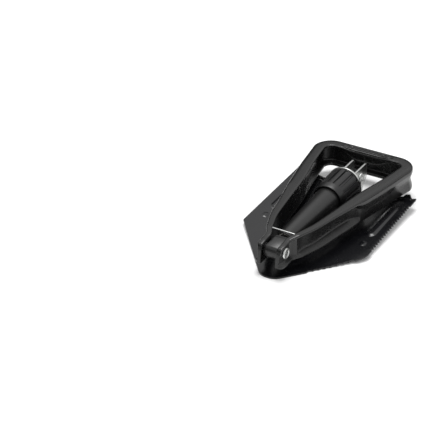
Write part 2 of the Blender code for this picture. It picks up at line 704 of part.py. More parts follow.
def loft_mesh(name, sections):
    """Joins rings of points one to the next, open at the first ring and closed at the last."""
    bm = bmesh.new()
    rings = [[bm.verts.new(point) for point in section] for section in sections]
    for first, second in zip(rings, rings[1:]):
        for i in range(len(first)):
            j = (i + 1) % len(first)
            bm.faces.new((first[i], first[j], second[j], second[i]))
    bm.faces.new(rings[-1])
    return mesh_of(bm, name)


def make_handle(hinge, kit):
    parts, cutters, materials = kit
    mesh = loft_mesh("handle_frame", handle_sections())
    frame = add_object("handle_frame", mesh, materials["handle"], hinge, parts)
    mirror = frame.modifiers.new("other_half", "MIRROR")
    mirror.merge_threshold = MERGE
    ear_outer = REAR_EAR_INNER + EAR_THICKNESS
    width = 2 * (ear_outer + 10 * MM)
    bore = cylinder_mesh("handle_bore", "X", (0, 0, 0), HINGE_PIN_RADIUS + GAP, width, 32)
    cut_with(frame, bore, hinge, cutters)
    wire_y = TUBE_START - 0.4 * MM
    wire_reach = REAR_EAR_INNER + WIRE_IN_EAR
    length = 2 * (wire_reach + GAP)
    hole = cylinder_mesh("wire_hole", "X", (0, wire_y, WIRE_Z), WIRE_RADIUS + GAP, length, 12)
    cut_with(frame, hole, hinge, cutters)
    make_wire("stop_wire", wire_y, WIRE_Z, wire_reach, materials["zinc"], hinge, parts)
    make_hinge_pin("handle_pin", ear_outer, hinge, kit)
    make_hinge_washers("handle_washer", REAR_TONGUE_WIDTH / 2 + GAP, hinge, kit)


def make_wire(name, y, z, reach, material, hinge, parts):
    curve = bpy.data.curves.new(name, "CURVE")
    curve.dimensions = "3D"
    curve.bevel_depth = WIRE_RADIUS
    curve.bevel_resolution = 3
    curve.use_fill_caps = True
    spline = curve.splines.new("POLY")
    spline.points.add(1)
    spline.points[0].co = (-reach, y, z, 1.0)
    spline.points[1].co = (reach, y, z, 1.0)
    curve.materials.append(material)
    obj = bpy.data.objects.new(name, curve)
    obj.parent = hinge
    parts.objects.link(obj)


def make_hinge_pin(name, grip, hinge, kit):
    """A pin along X with a domed head on each side, and two spanner holes in each head."""
    parts, cutters, materials = kit
    head = grip + GAP
    top = head + PIN_HEAD_HEIGHT
    half = [
        (0.0, top),
        (0.55 * PIN_HEAD_RADIUS, top - 0.05 * MM),
        (0.86 * PIN_HEAD_RADIUS, top - 0.45 * MM),
        (PIN_HEAD_RADIUS, top - 1.2 * MM),
        (PIN_HEAD_RADIUS, head),
        (HINGE_PIN_RADIUS, head),
    ]
    profile = half + [(radius, -along) for radius, along in reversed(half)]
    pin = turned_object(name, profile, "X", (0, 0, 0), materials["zinc"], hinge, parts, 24)
    bm = bmesh.new()
    for side in (-1, 1):
        for offset in (-SPANNER_HOLE_OFFSET, SPANNER_HOLE_OFFSET):
            place = axis_matrix("X", (side * top, 0.35 * offset, offset))
            bmesh.ops.create_cone(
                bm,
                cap_ends=True,
                segments=10,
                radius1=SPANNER_HOLE_RADIUS,
                radius2=SPANNER_HOLE_RADIUS,
                depth=1.8 * MM,
                matrix=place,
            )
    cut_with(pin, mesh_of(bm, f"{name}_spanner_holes"), hinge, cutters)


def make_hinge_washers(name, inner, hinge, kit):
    parts, _, materials = kit
    for side, label in ((-1, "left"), (1, "right")):
        low = inner if side > 0 else -inner - HINGE_WASHER_THICKNESS
        high = low + HINGE_WASHER_THICKNESS
        bore = HINGE_PIN_RADIUS + GAP
        profile = [(HINGE_WASHER_RADIUS, high), (HINGE_WASHER_RADIUS, low), (bore, low), (bore, high)]
        turned_object(
            f"{name}_{label}", profile, "X", (0, 0, 0), materials["steel"], hinge, parts, 24, closed=True
        )


# ---------------------------------------------------------------- blade


def blade_stations():
    """Distances from the unrounded tip of the rows that the outline needs."""
    tip_end = 90 - math.degrees(POINT_ANGLE)
    tip = [TIP_CENTRE - TIP_RADIUS * math.cos(math.radians(a)) for a in np.linspace(8, tip_end, 6)]
    point = list(np.linspace(tip[-1], BLADE_POINT, 10))[1:]
    side = list(np.linspace(BLADE_POINT, BLADE_LENGTH, 12))[1:]
    return tip + point + side


def half_width(along):
    """Half the blade's width: the round tip, the straight point, then the straight side."""
    tangent = TIP_CENTRE - TIP_RADIUS * math.sin(POINT_ANGLE)
    if along < tangent:
        return math.sqrt(max(TIP_RADIUS**2 - (TIP_CENTRE - along) ** 2, 0.0))
    if along < BLADE_POINT:
        return along * POINT_SLOPE
    return side_half_width(along)


def side_half_width(along):
    """Half the blade's width along its sides, which draw in a little towards the rear."""
    share = (along - BLADE_POINT) / (BLADE_LENGTH - BLADE_POINT)
    return BLADE_HALF_WIDTH + share * (BLADE_REAR_HALF_WIDTH - BLADE_HALF_WIDTH)


def saw_mesh():
    """V notches along the right side, as turned cubes that reach in from the edge."""
    bm = bmesh.new()
    start = BLADE_POINT + SHOULDER_RADIUS
    count = int((BLADE_LENGTH - 12.0 * MM - start) / SAW_PITCH)
    side = SAW_PITCH * 0.96 / math.sqrt(2)
    turn = Matrix.Rotation(math.radians(45), 4, "Z") @ Matrix.Diagonal((side, side, 60 * MM, 1.0))
    for tooth in range(count):
        along = start + (tooth + 0.5) * SAW_PITCH
        x = side_half_width(along) + side / math.sqrt(2) - SAW_DEPTH
        place = Matrix.Translation((x, blade_y(along), BLADE_TOP))
        bmesh.ops.create_cube(bm, size=1.0, matrix=place @ turn)
    return mesh_of(bm, "saw_notches")


def scallop_mesh():
    """Round bites along the right edge of the point."""
    bm = bmesh.new()
    run = math.hypot(BLADE_POINT, BLADE_HALF_WIDTH)
    start = SCALLOP_START * run
    count = int((run - SHOULDER_RADIUS - start) / SCALLOP_PITCH)
    radius = 0.46 * SCALLOP_PITCH
    for bite in range(count):
        along = start + (bite + 0.5) * SCALLOP_PITCH
        out = radius - SCALLOP_DEPTH
        x = along * math.sin(POINT_ANGLE) + out * math.cos(POINT_ANGLE)
        length = along * math.cos(POINT_ANGLE) - out * math.sin(POINT_ANGLE)
        bmesh.ops.create_cone(
            bm,
            cap_ends=True,
            segments=12,
            radius1=radius,
            radius2=radius,
            depth=60 * MM,
            matrix=Matrix.Translation((x, blade_y(length), BLADE_TOP)),
        )
    return mesh_of(bm, "scallops")


def shoulder_mesh():
    """What is taken off the right shoulder to round it, between its corner and the fillet."""
    setback = SHOULDER_RADIUS * math.tan(POINT_CORNER / 2)
    centre = (BLADE_HALF_WIDTH - SHOULDER_RADIUS, blade_y(BLADE_POINT + setback))
    start = -math.degrees(POINT_CORNER)
    arc = arc_points(centre, SHOULDER_RADIUS, start, 0.0, 7)
    far = BLADE_HALF_WIDTH + 4 * MM
    outline = [*arc, (far, arc[-1][1]), (far, arc[0][1] - 8 * MM), (arc[0][0], arc[0][1] - 8 * MM)]
    return prism_mesh("shoulder_fillet", outline, 60 * MM, "Z", (0, 0, BLADE_TOP))


def blade_y(along):
    """Y in the blade hinge's coordinates, from a distance along the blade from its tip."""
    return along - BLADE_LENGTH + BLADE_BEHIND_HINGE


def dish_height(x, along):
    """How far the pressed dish stands above its flat middle."""
    share = max(abs(x) - DISH_FLAT, 0.0) / (BLADE_HALF_WIDTH - DISH_FLAT)
    stations = (0.0, 0.35 * BLADE_POINT, BLADE_POINT, BLADE_LENGTH)
    depth = float(np.interp(along, stations, (0.0, 0.0, DISH_AT_SHOULDER, DISH_AT_REAR)))
    return depth * share**1.6


def step_height(x):
    """The foot step turned up along the rear edge: low under the handle, tall outside it."""
    side = abs(x) * BLADE_HALF_WIDTH / BLADE_REAR_HALF_WIDTH
    if side < STEP_START or side > STEP_END:
        return STEP_LIP
    under_handle = -HANDLE_BOTTOM - 0.9 * MM - BLADE_TOP - dish_height(x, BLADE_LENGTH)
    low = max(min(under_handle, 3.2 * MM), STEP_LIP)
    return STEP_TALL if side > STEP_TALL_FROM else low


def make_blade_sheet():
    """The top face of the blade, as a grid whose rows follow the outline."""
    rows = [*blade_stations(), BLADE_LENGTH]
    shares = column_shares()
    bm = bmesh.new()
    bmesh.ops.create_grid(bm, x_segments=len(shares) - 1, y_segments=len(rows) - 1, size=1.0)
    for vert in bm.verts:
        row = round((vert.co.y + 1) / 2 * (len(rows) - 1))
        column = round((vert.co.x + 1) / 2 * (len(shares) - 1))
        x = shares[column] * half_width(rows[row])
        z = BLADE_TOP + dish_height(x, rows[row])
        if row == len(rows) - 1:
            z += step_height(x)
        vert.co = (x, blade_y(rows[row]), z)
    return bm


def column_shares():
    """Column positions from -1 to 1, some of them where the foot step changes height."""
    marks = (STEP_START, STEP_TALL_FROM - 2 * MM, STEP_TALL_FROM, STEP_END - MM, STEP_END + MM)
    between = np.linspace(STEP_START, STEP_TALL_FROM - 2 * MM, 5)[1:-1]
    half = sorted([0.0, DISH_FLAT, *marks, *between, BLADE_HALF_WIDTH])
    shares = [x / BLADE_HALF_WIDTH for x in half]
    return [-share for share in reversed(shares[1:])] + shares


def make_blade(hinge, kit):
    parts, cutters, materials = kit
    mesh = mesh_of(make_blade_sheet(), "blade", closed=False)
    blade = add_object("blade", mesh, materials["blade"], hinge, parts)
    sheet = blade.modifiers.new("sheet", "SOLIDIFY")
    sheet.thickness = BLADE_THICKNESS
    sheet.offset = -1.0
    sheet.use_even_offset = True
    for cutter in (shoulder_mesh(), saw_mesh(), scallop_mesh()):
        cut_with(blade, cutter, hinge, cutters)
    for x, y in rivet_places():
        cut_with(blade, rivet_hole_mesh(x, y), hinge, cutters)


# ---------------------------------------------------------------- bracket and rivets


def rivet_places():
    x = BRACKET_INNER + BRACKET_THICKNESS + RIVET_HEAD_RADIUS + GAP
    rear = -BRACKET_BASE_REAR + 5.0 * MM
    front = BRACKET_BASE_FRONT - 5.0 * MM
    return [(-x, rear), (x, rear), (-x, front), (x, front)]


def rivet_hole_mesh(x, y):
    bm = bmesh.new()
    low = BLADE_TOP - BLADE_THICKNESS - MM
    bmesh.ops.create_cone(
        bm,
        cap_ends=True,
        segments=20,
        radius1=RIVET_TAIL_RADIUS + GAP,
        radius2=RIVET_SHANK_RADIUS + GAP,
        depth=BLADE_THICKNESS + 2 * MM,
        matrix=Matrix.Translation((x, y, low + BLADE_THICKNESS / 2 + MM)),
    )
    return mesh_of(bm, f"rivet_hole_{'left' if x < 0 else 'right'}_{'rear' if y < -5 * MM else 'front'}")


def make_rivets(hinge, kit):
    parts, _, materials = kit
    base_top = BLADE_TOP + GAP + BRACKET_THICKNESS
    head = base_top + GAP
    tail = BLADE_TOP - BLADE_THICKNESS + 0.1 * MM
    slope = (RIVET_TAIL_RADIUS - RIVET_SHANK_RADIUS) / (BLADE_THICKNESS + 2 * MM)
    profile = [
        (0.0, head + RIVET_HEAD_HEIGHT),
        (0.5 * RIVET_HEAD_RADIUS, head + 0.87 * RIVET_HEAD_HEIGHT),
        (0.85 * RIVET_HEAD_RADIUS, head + 0.5 * RIVET_HEAD_HEIGHT),
        (RIVET_HEAD_RADIUS, head),
        (RIVET_SHANK_RADIUS, head),
        (RIVET_SHANK_RADIUS, BLADE_TOP),
        (RIVET_SHANK_RADIUS + slope * BLADE_THICKNESS, tail),
        (0.0, tail),
    ]
    for number, (x, y) in enumerate(rivet_places(), start=1):
        turned_object(
            f"blade_rivet_{number}", profile, "Z", (x, y, 0), materials["zinc"], hinge, parts, 16
        )


def ear_outline():
    """Side view of a bracket ear: flat ends and a flat top with round corners, and a stem down."""
    base = BLADE_TOP + GAP
    corner_y = BRACKET_END - BRACKET_CORNER
    corner_z = BRACKET_TOP - BRACKET_CORNER
    half = [(BRACKET_STEM_HALF, base), (BRACKET_STEM_HALF, -BRACKET_END), (BRACKET_END, -6.0 * MM)]
    half += arc_points((corner_y, corner_z), BRACKET_CORNER, 0, 90, 5)
    return half + [(-y, z) for y, z in reversed(half)]


def make_bracket(hinge, kit):
    parts, cutters, materials = kit
    base_low = BLADE_TOP + GAP
    base = box_mesh(
        "blade_bracket",
        (-BRACKET_BASE_HALF_WIDTH, -BRACKET_BASE_REAR, base_low),
        (BRACKET_BASE_HALF_WIDTH, BRACKET_BASE_FRONT, base_low + BRACKET_THICKNESS),
    )
    bracket = add_object("blade_bracket", base, materials["zinc"], hinge, parts)
    middle = BRACKET_INNER + BRACKET_THICKNESS / 2
    for side, label in ((-1, "left"), (1, "right")):
        ear = prism_mesh(f"ear_{label}", ear_outline(), BRACKET_THICKNESS, "X", (side * middle, 0, 0))
        join_with(bracket, ear, hinge, cutters)
    bore = cylinder_mesh("bracket_bore", "X", (0, 0, 0), HINGE_PIN_RADIUS + GAP, 40 * MM, 32)
    cut_with(bracket, bore, hinge, cutters)
    for number, (x, y) in enumerate(rivet_places(), start=1):
        centre = (x, y, base_low + BRACKET_THICKNESS / 2)
        radius = RIVET_SHANK_RADIUS + GAP
        hole = cylinder_mesh(f"base_hole_{number}", "Z", centre, radius, 3 * BRACKET_THICKNESS, 20)
        cut_with(bracket, hole, hinge, cutters)
    make_rivets(hinge, kit)
    make_hinge_pin("blade_pin", BRACKET_INNER + BRACKET_THICKNESS, hinge, kit)
    make_hinge_washers("blade_washer", FRONT_TONGUE_WIDTH / 2 + GAP, hinge, kit)


def main():
    clear_scene()
    parts = new_collection("camp_shovel")
    cutters = new_collection("cutters")
    kit = (parts, cutters, make_materials())
    rear = new_pivot("handle_hinge", (0, HANDLE_HINGE_Y, AXIS_HEIGHT), None, parts)
    front = new_pivot("blade_hinge", (0, CORE_LENGTH, 0), rear, parts)
    make_core(rear, front, kit)
    make_tube(rear, kit)
    make_sleeve(rear, kit)
    make_bushes(rear, kit)
    make_collar(front, kit)
    make_thrust_washer(front, kit)
    make_handle(rear, kit)
    make_blade(front, kit)
    make_bracket(front, kit)


main()
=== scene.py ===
"""Looks of a folding camp shovel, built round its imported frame.

The shovel lies folded on its blade. Each sub-assembly is a class that holds its sizes and makes its
meshes in the frame's own coordinates, in metres: +Y from the handle hinge to the blade hinge, +Z up.
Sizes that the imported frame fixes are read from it, so a new frame carries the looks with it.
"""

import json
import logging
import math
from collections.abc import Sequence
from dataclasses import dataclass, field
from enum import Enum
from functools import cache

import bmesh
import bpy
import numpy as np
from mathutils import Matrix, Vector

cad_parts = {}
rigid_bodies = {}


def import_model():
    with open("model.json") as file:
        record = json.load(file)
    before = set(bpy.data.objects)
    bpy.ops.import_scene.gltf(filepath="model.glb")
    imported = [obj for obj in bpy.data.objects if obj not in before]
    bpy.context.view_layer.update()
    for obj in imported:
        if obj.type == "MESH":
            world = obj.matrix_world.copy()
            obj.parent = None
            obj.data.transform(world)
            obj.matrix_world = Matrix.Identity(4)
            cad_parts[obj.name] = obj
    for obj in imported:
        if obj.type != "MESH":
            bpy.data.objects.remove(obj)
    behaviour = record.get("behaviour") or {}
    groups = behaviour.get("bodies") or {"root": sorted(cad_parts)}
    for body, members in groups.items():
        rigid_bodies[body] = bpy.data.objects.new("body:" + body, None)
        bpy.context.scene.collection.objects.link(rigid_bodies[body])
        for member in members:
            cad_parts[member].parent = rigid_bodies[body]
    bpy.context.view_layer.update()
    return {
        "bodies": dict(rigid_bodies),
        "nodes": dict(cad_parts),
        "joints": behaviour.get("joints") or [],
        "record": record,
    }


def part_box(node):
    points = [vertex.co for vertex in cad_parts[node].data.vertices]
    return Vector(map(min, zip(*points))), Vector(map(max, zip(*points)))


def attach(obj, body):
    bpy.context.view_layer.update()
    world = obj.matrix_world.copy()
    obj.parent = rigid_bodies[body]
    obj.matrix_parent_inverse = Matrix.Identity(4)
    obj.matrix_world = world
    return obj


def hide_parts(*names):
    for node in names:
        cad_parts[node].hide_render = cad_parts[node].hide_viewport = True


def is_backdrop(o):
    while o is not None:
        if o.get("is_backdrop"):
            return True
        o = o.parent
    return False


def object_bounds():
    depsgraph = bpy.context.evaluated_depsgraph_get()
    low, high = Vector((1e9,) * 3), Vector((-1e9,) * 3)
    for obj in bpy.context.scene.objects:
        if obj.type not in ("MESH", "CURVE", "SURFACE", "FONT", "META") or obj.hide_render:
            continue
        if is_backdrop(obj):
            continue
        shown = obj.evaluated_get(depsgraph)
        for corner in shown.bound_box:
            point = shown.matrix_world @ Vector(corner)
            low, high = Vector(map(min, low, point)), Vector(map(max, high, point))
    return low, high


MM = 0.001
GAP = 0.3 * MM
LOG = logging.getLogger("camp_shovel")

Point = tuple[float, float]
Colour = tuple[float, float, float]
Faces = list[tuple[int, ...]]


# ---------------------------------------------------------------- node graphs


class Socket:
    """One output of a node graph, usable in arithmetic."""

    def __init__(self, graph: "NodeGraph", socket: bpy.types.NodeSocket) -> None:
        """Keeps the socket and the graph that it belongs to."""
        self.graph = graph
        self.socket = socket

    def math(self, operation: str, other: "Socket | float" = 0.0, swapped: bool = False) -> "Socket":
        """Adds one Math node.

        Args:
            operation: The Math node's operation.
            other: The second value or socket.
            swapped: Whether `other` comes first.

        Returns:
            The node's result.
        """
        pair = (other, self) if swapped else (self, other)
        return self.graph.out("ShaderNodeMath", {"operation": operation}, {0: pair[0], 1: pair[1]})

    def __add__(self, other: "Socket | float") -> "Socket":
        """Sum."""
        return self.math("ADD", other)

    __radd__ = __add__

    def __sub__(self, other: "Socket | float") -> "Socket":
        """Difference."""
        return self.math("SUBTRACT", other)

    def __rsub__(self, other: float) -> "Socket":
        """Difference with a number on the left."""
        return self.math("SUBTRACT", other, swapped=True)

    def __mul__(self, other: "Socket | float") -> "Socket":
        """Product."""
        return self.math("MULTIPLY", other)

    __rmul__ = __mul__

    def __truediv__(self, other: "Socket | float") -> "Socket":
        """Quotient."""
        return self.math("DIVIDE", other)

    def __pow__(self, other: "Socket | float") -> "Socket":
        """Power."""
        return self.math("POWER", other)

    def spread(self, low: float, high: float, to_low: float = 0.0, to_high: float = 1.0) -> "Socket":
        """Maps low..high smoothly onto to_low..to_high, and holds it outside.

        Args:
            low: Where the result is to_low.
            high: Where the result is to_high.
            to_low: The first result.
            to_high: The last result.

        Returns:
            The mapped value.
        """
        sockets = {0: self, 1: low, 2: high, 3: to_low, 4: to_high}
        return self.graph.out("ShaderNodeMapRange", {"interpolation_type": "SMOOTHSTEP"}, sockets)


class NodeGraph:
    """A node tree and the one method that adds nodes to it."""

    def __init__(self, tree: bpy.types.NodeTree) -> None:
        """Keeps the tree."""
        self.tree = tree

    def node(
        self,
        kind: str,
        settings: dict[str, object] | None = None,
        sockets: "dict[str | int, object] | None" = None,
    ) -> bpy.types.Node:
        """Adds a node.

        Args:
            kind: The node's type name.
            settings: Attributes set before its sockets, and a ramp's stops under "stops".
            sockets: A value or a Socket for each input, by name or place.

        Returns:
            The new node.
        """
        made = self.tree.nodes.new(kind)
        for key, value in (settings or {}).items():
            if key == "stops":
                self._set_stops(made.color_ramp, value)
            else:
                setattr(made, key, value)
        for key, value in (sockets or {}).items():
            self.feed(made.inputs[key], value)
        return made

    def out(
        self,
        kind: str,
        settings: dict[str, object] | None = None,
        sockets: "dict[str | int, object] | None" = None,
        output: str | int = 0,
    ) -> Socket:
        """Adds a node and returns one of its outputs, as `node` does."""
        return Socket(self, self.node(kind, settings, sockets).outputs[output])

    def feed(self, target: bpy.types.NodeSocket, value: object) -> None:
        """Links a Socket to an input, or sets the input to a value."""
        if isinstance(value, Socket):
            self.tree.links.new(value.socket, target)
        else:
            target.default_value = value

    @staticmethod
    def _set_stops(ramp: bpy.types.ColorRamp, stops: Sequence[tuple[float, Colour]]) -> None:
        """Sets a ramp's stops from (position, colour) pairs."""
        while len(ramp.elements) < len(stops):
            ramp.elements.new(1.0)
        for element, (position, colour) in zip(ramp.elements, stops):
            element.position = position
            element.color = (*colour, 1.0)


class Surface(NodeGraph):
    """A material's graph, with its Principled shader and its usual sources of pattern."""

    def __init__(self, name: str) -> None:
        """Makes an empty material with a Principled shader."""
        self.material = bpy.data.materials.new(name)
        self.material.use_nodes = True
        super().__init__(self.material.node_tree)
        self.tree.nodes.clear()
        self.shader = self.node("ShaderNodeBsdfPrincipled")
        output = self.node("ShaderNodeOutputMaterial")
        self.tree.links.new(self.shader.outputs[0], output.inputs[0])
        self.place = self.out("ShaderNodeTexCoord", output="Object")

    def set(self, **values: object) -> None:
        """Sets or links the shader's inputs; an underscore in a name stands for a space."""
        for key, value in values.items():
            self.feed(self.shader.inputs[key.replace("_", " ")], value)

    def stretched(self, scale: tuple[float, float, float]) -> Socket:
        """Object coordinates with each axis scaled."""
        return self.out("ShaderNodeMapping", {}, {"Vector": self.place, "Scale": scale})

    def noise(self, scale: float, detail: float = 2.0, place: Socket | None = None) -> Socket:
        """Noise from 0 to 1.

        Args:
            scale: Cycles a metre.
            detail: Octaves.
            place: Coordinates, if not the object's own.

        Returns:
            The noise value.
        """
        sockets = {"Vector": place or self.place, "Scale": scale, "Detail": detail}
        return self.out("ShaderNodeTexNoise", {}, sockets)

    def specks(self, scale: float) -> Socket:
        """Distance to the nearest of many scattered points, for pits and specks."""
        return self.out("ShaderNodeTexVoronoi", {}, {"Vector": self.place, "Scale": scale})

    def convex_edges(self) -> Socket:
        """1 on the convex edges and 0 elsewhere; the finishes lighten these edges in colour as a painted
        highlight.
        """
        pointiness = self.out("ShaderNodeNewGeometry", output="Pointiness")
        return pointiness.spread(0.53, 0.62)

    def blend(self, share: Socket, first: Colour, second: Colour) -> Socket:
        """A colour between two, by a share from 0 to 1."""
        settings = {"data_type": "RGBA", "blend_type": "MIX"}
        sockets = {0: share, 6: (*first, 1.0), 7: (*second, 1.0)}
        return self.out("ShaderNodeMix", settings, sockets, 2)

    def mixed(self, share: Socket, first: Socket, second: Colour) -> Socket:
        """A colour between a linked one and a fixed one."""
        settings = {"data_type": "RGBA", "blend_type": "MIX"}
        return self.out("ShaderNodeMix", settings, {0: share, 6: first, 7: (*second, 1.0)}, 2)

    def relief(self, height: Socket, distance: float, strength: float = 1.0) -> None:
        """Bumps the surface by a height field, `distance` metres for a height of 1."""
        sockets = {"Strength": strength, "Distance": distance, "Height": height}
        self.set(Normal=self.out("ShaderNodeBump", {}, sockets))


# ---------------------------------------------------------------- finishes


@dataclass(frozen=True)
class Finish:
    """One finish of the shovel: a colour, a gloss, and the pattern that its subclass adds."""

    name: str
    slot: str
    colour: Colour
    roughness: float

    def material(self) -> bpy.types.Material:
        """The finish's material, made once."""
        return material_of(self)

    def make(self) -> Surface:
        """Builds the material's graph; each subclass has its own."""
        raise NotImplementedError


@cache
def material_of(finish: Finish) -> bpy.types.Material:
    """Makes a finish's material the first time that it is asked for."""
    return finish.make().material


@dataclass(frozen=True)
class SatinPaint(Finish):
    """Baked black paint: a fine orange peel, mottled gloss, and convex edges lightened in colour as a painted
    highlight.
    """

    peel: float = 0.004
    lift: float = 0.6
    # How far, and towards what colour, the convex edges are lightened: a painted highlight.
    edge_highlight: float = 0.35
    edge_highlight_colour: Colour = (0.09, 0.09, 0.093)

    def make(self) -> Surface:
        """Builds the paint."""
        graph = Surface(self.name)
        cloud = graph.noise(45.0, 3.0)
        peel = graph.noise(400.0, 1.0)
        dust = graph.specks(2600.0).spread(0.0, 0.22, 1.0, 0.0) * graph.noise(260.0).spread(0.5, 0.75)
        scuff = graph.noise(500.0, 3.0, graph.stretched((1.0, 0.15, 1.0))).spread(0.55, 0.75)
        edge = graph.convex_edges() * graph.noise(420.0, 4.0).spread(0.42, 0.62)
        deep = tuple(channel * (1 - 0.25 * self.lift) for channel in self.colour)
        pale = tuple(channel * (1 + 0.25 * self.lift) for channel in self.colour)
        paint = graph.blend(cloud.spread(0.3, 0.7), deep, pale)
        dusted = graph.mixed(dust * 0.04, paint, (0.06, 0.06, 0.057))
        graph.set(
            # The convex edges are mixed towards a paler grey: a painted highlight.
            Base_Color=graph.mixed(edge * self.edge_highlight, dusted, self.edge_highlight_colour),
            Roughness=cloud * 0.08 + self.roughness - 0.04 + scuff * 0.03 - edge * 0.03 + dust * 0.04,
            Specular_IOR_Level=0.5,
        )
        graph.relief(peel, self.peel * MM)
        return graph


@dataclass(frozen=True)
class MouldedPlastic(Finish):
    """Black glass-filled plastic with the fine matt texture of its mould."""

    def make(self) -> Surface:
        """Builds the plastic."""
        graph = Surface(self.name)
        cloud = graph.noise(70.0, 3.0)
        grain = graph.noise(5200.0, 3.0)
        # The convex edges are lightened towards a paler grey and made glossier: a painted highlight.
        rim_highlight = graph.convex_edges() * graph.noise(600.0, 3.0).spread(0.40, 0.65)
        deep = tuple(channel * 0.85 for channel in self.colour)
        pale = tuple(channel * 1.2 for channel in self.colour)
        graph.set(
            Base_Color=graph.mixed(rim_highlight * 0.3, graph.blend(cloud, deep, pale), (0.04, 0.04, 0.043)),
            Roughness=grain * 0.12 + self.roughness - 0.06 - rim_highlight * 0.12,
        )
        graph.relief(grain, 0.02 * MM)
        return graph


@dataclass(frozen=True)
class ZincPlate(Finish):
    """Bright zinc plate over rolled steel: a faint grain, cloudy passivation and dull specks."""

    grain: tuple[float, float, float] = (1.0, 1.0, 8.0)
    dull: Colour = (0.36, 0.37, 0.36)

    def make(self) -> Surface:
        """Builds the plated metal."""
        graph = Surface(self.name)
        cloud = graph.noise(160.0, 4.0)
        lines = graph.noise(900.0, 3.0, graph.stretched(self.grain))
        spots = graph.specks(900.0).spread(0.0, 0.30, 1.0, 0.0) * graph.noise(500.0).spread(0.52, 0.66)
        base = graph.blend(cloud.spread(0.30, 0.72), self.colour, tuple(c * 0.80 for c in self.colour))
        graph.set(
            Base_Color=graph.mixed(spots * 0.6, base, self.dull),
            Metallic=1.0 - spots * 0.25,
            Roughness=cloud * 0.14 + lines * 0.10 + spots * 0.25 + self.roughness - 0.12,
        )
        graph.relief(lines + spots * 0.4, 0.006 * MM)
        return graph


@dataclass(frozen=True)
class TurnedSteel(Finish):
    """Oiled steel with the fine rings that a lathe leaves along Y."""

    def make(self) -> Surface:
        """Builds the turned steel."""
        graph = Surface(self.name)
        rings = graph.noise(1400.0, 2.0, graph.stretched((0.05, 4.0, 0.05)))
        oil = graph.noise(120.0, 3.0)
        dark = tuple(channel * 0.62 for channel in self.colour)
        graph.set(
            Base_Color=graph.blend(oil.spread(0.35, 0.7), self.colour, dark),
            Metallic=1.0,
            Roughness=rings * 0.14 + oil * 0.10 + self.roughness - 0.12,
        )
        graph.relief(rings, 0.008 * MM)
        return graph


@dataclass(frozen=True)
class SoftPolymer(Finish):
    """Nylon or rubber: an even colour with a slight bloom and a fine skin."""

    bloom: Colour = (0.5, 0.5, 0.5)
    bloom_share: float = 0.1

    def make(self) -> Surface:
        """Builds the polymer."""
        graph = Surface(self.name)
        cloud = graph.noise(220.0, 4.0)
        skin = graph.noise(3800.0, 2.0)
        pale = tuple(a + (b - a) * self.bloom_share for a, b in zip(self.colour, self.bloom))
        graph.set(
            Base_Color=graph.blend(cloud.spread(0.35, 0.75), self.colour, pale),
            Roughness=cloud * 0.12 + self.roughness - 0.06,
        )
        graph.relief(skin, 0.01 * MM)
        return graph


class Coat(Enum):
    """The finishes that the shovel's pieces take."""

    # Each paint's convex edges are lightened a little in colour: a painted highlight.
    BLADE = SatinPaint("blade_paint", "blade_paint", (0.0035, 0.0036, 0.0046), 0.24, edge_highlight=0.03)
    HANDLE = SatinPaint("handle_paint", "handle_paint", (0.0042, 0.0042, 0.0042), 0.27, edge_highlight=0.03)
    TUBE = SatinPaint("tube_paint", "tube_paint", (0.0080, 0.0080, 0.0080), 0.34, edge_highlight=0.03)
    COLLAR = MouldedPlastic("collar_plastic", "collar_plastic", (0.0045, 0.0045, 0.0048), 0.38)
    PLATE = ZincPlate("zinc_plate", "zinc_plate", (0.66, 0.67, 0.655), 0.30)
    STEEL = TurnedSteel("turned_steel", "bare_steel", (0.50, 0.50, 0.51), 0.34)
    NYLON = SoftPolymer("natural_nylon", "nylon", (0.70, 0.69, 0.64), 0.50, (0.80, 0.79, 0.76), 0.5)
    RUBBER = SoftPolymer("seal_rubber", "rubber", (0.018, 0.018, 0.018), 0.78, (0.10, 0.10, 0.10), 0.3)


# ---------------------------------------------------------------- meshes


def make_mesh(name: str, points: np.ndarray, faces: Sequence[Sequence[int]]) -> bpy.types.Mesh:
    """A mesh from points and faces, turned so that a closed one faces outwards.

    Args:
        name: The mesh's name.
        points: An array of N by 3 coordinates.
        faces: Corner indices of each face.

    Returns:
        The new mesh.
    """
    mesh = bpy.data.meshes.new(name)
    mesh.from_pydata(np.asarray(points, float).tolist(), [], faces)
    mesh.update()
    if signed_volume(mesh) < 0:
        mesh.flip_normals()
    return mesh


def signed_volume(mesh: bpy.types.Mesh) -> float:
    """Volume inside a closed mesh, negative where its faces point inwards."""
    mesh.calc_loop_triangles()
    corners = np.empty(len(mesh.loop_triangles) * 3, np.int32)
    mesh.loop_triangles.foreach_get("vertices", corners)
    places = np.empty(len(mesh.vertices) * 3)
    mesh.vertices.foreach_get("co", places)
    triangles = places.reshape(-1, 3)[corners.reshape(-1, 3)]
    return float(np.linalg.det(triangles).sum()) / 6


def loft(rings: np.ndarray, wrap: bool = False, caps: bool = True) -> tuple[np.ndarray, Faces]:
    """Joins rings of points, each to the next.

    Args:
        rings: An array of rings by points by 3.
        wrap: Whether the last ring joins the first.
        caps: Whether the first and last rings are filled, when they don't join.

    Returns:
        The points and the faces.
    """
    count, size = rings.shape[:2]
    faces: list[tuple[int, ...]] = []
    for row in range(count if wrap else count - 1):
        low = row * size
        high = (row + 1) % count * size
        for i in range(size):
            j = (i + 1) % size
            faces.append((low + i, low + j, high + j, high + i))
    if caps and not wrap:
        faces.append(tuple(reversed(range(size))))
        faces.append(tuple(range((count - 1) * size, count * size)))
    return rings.reshape(-1, 3), faces


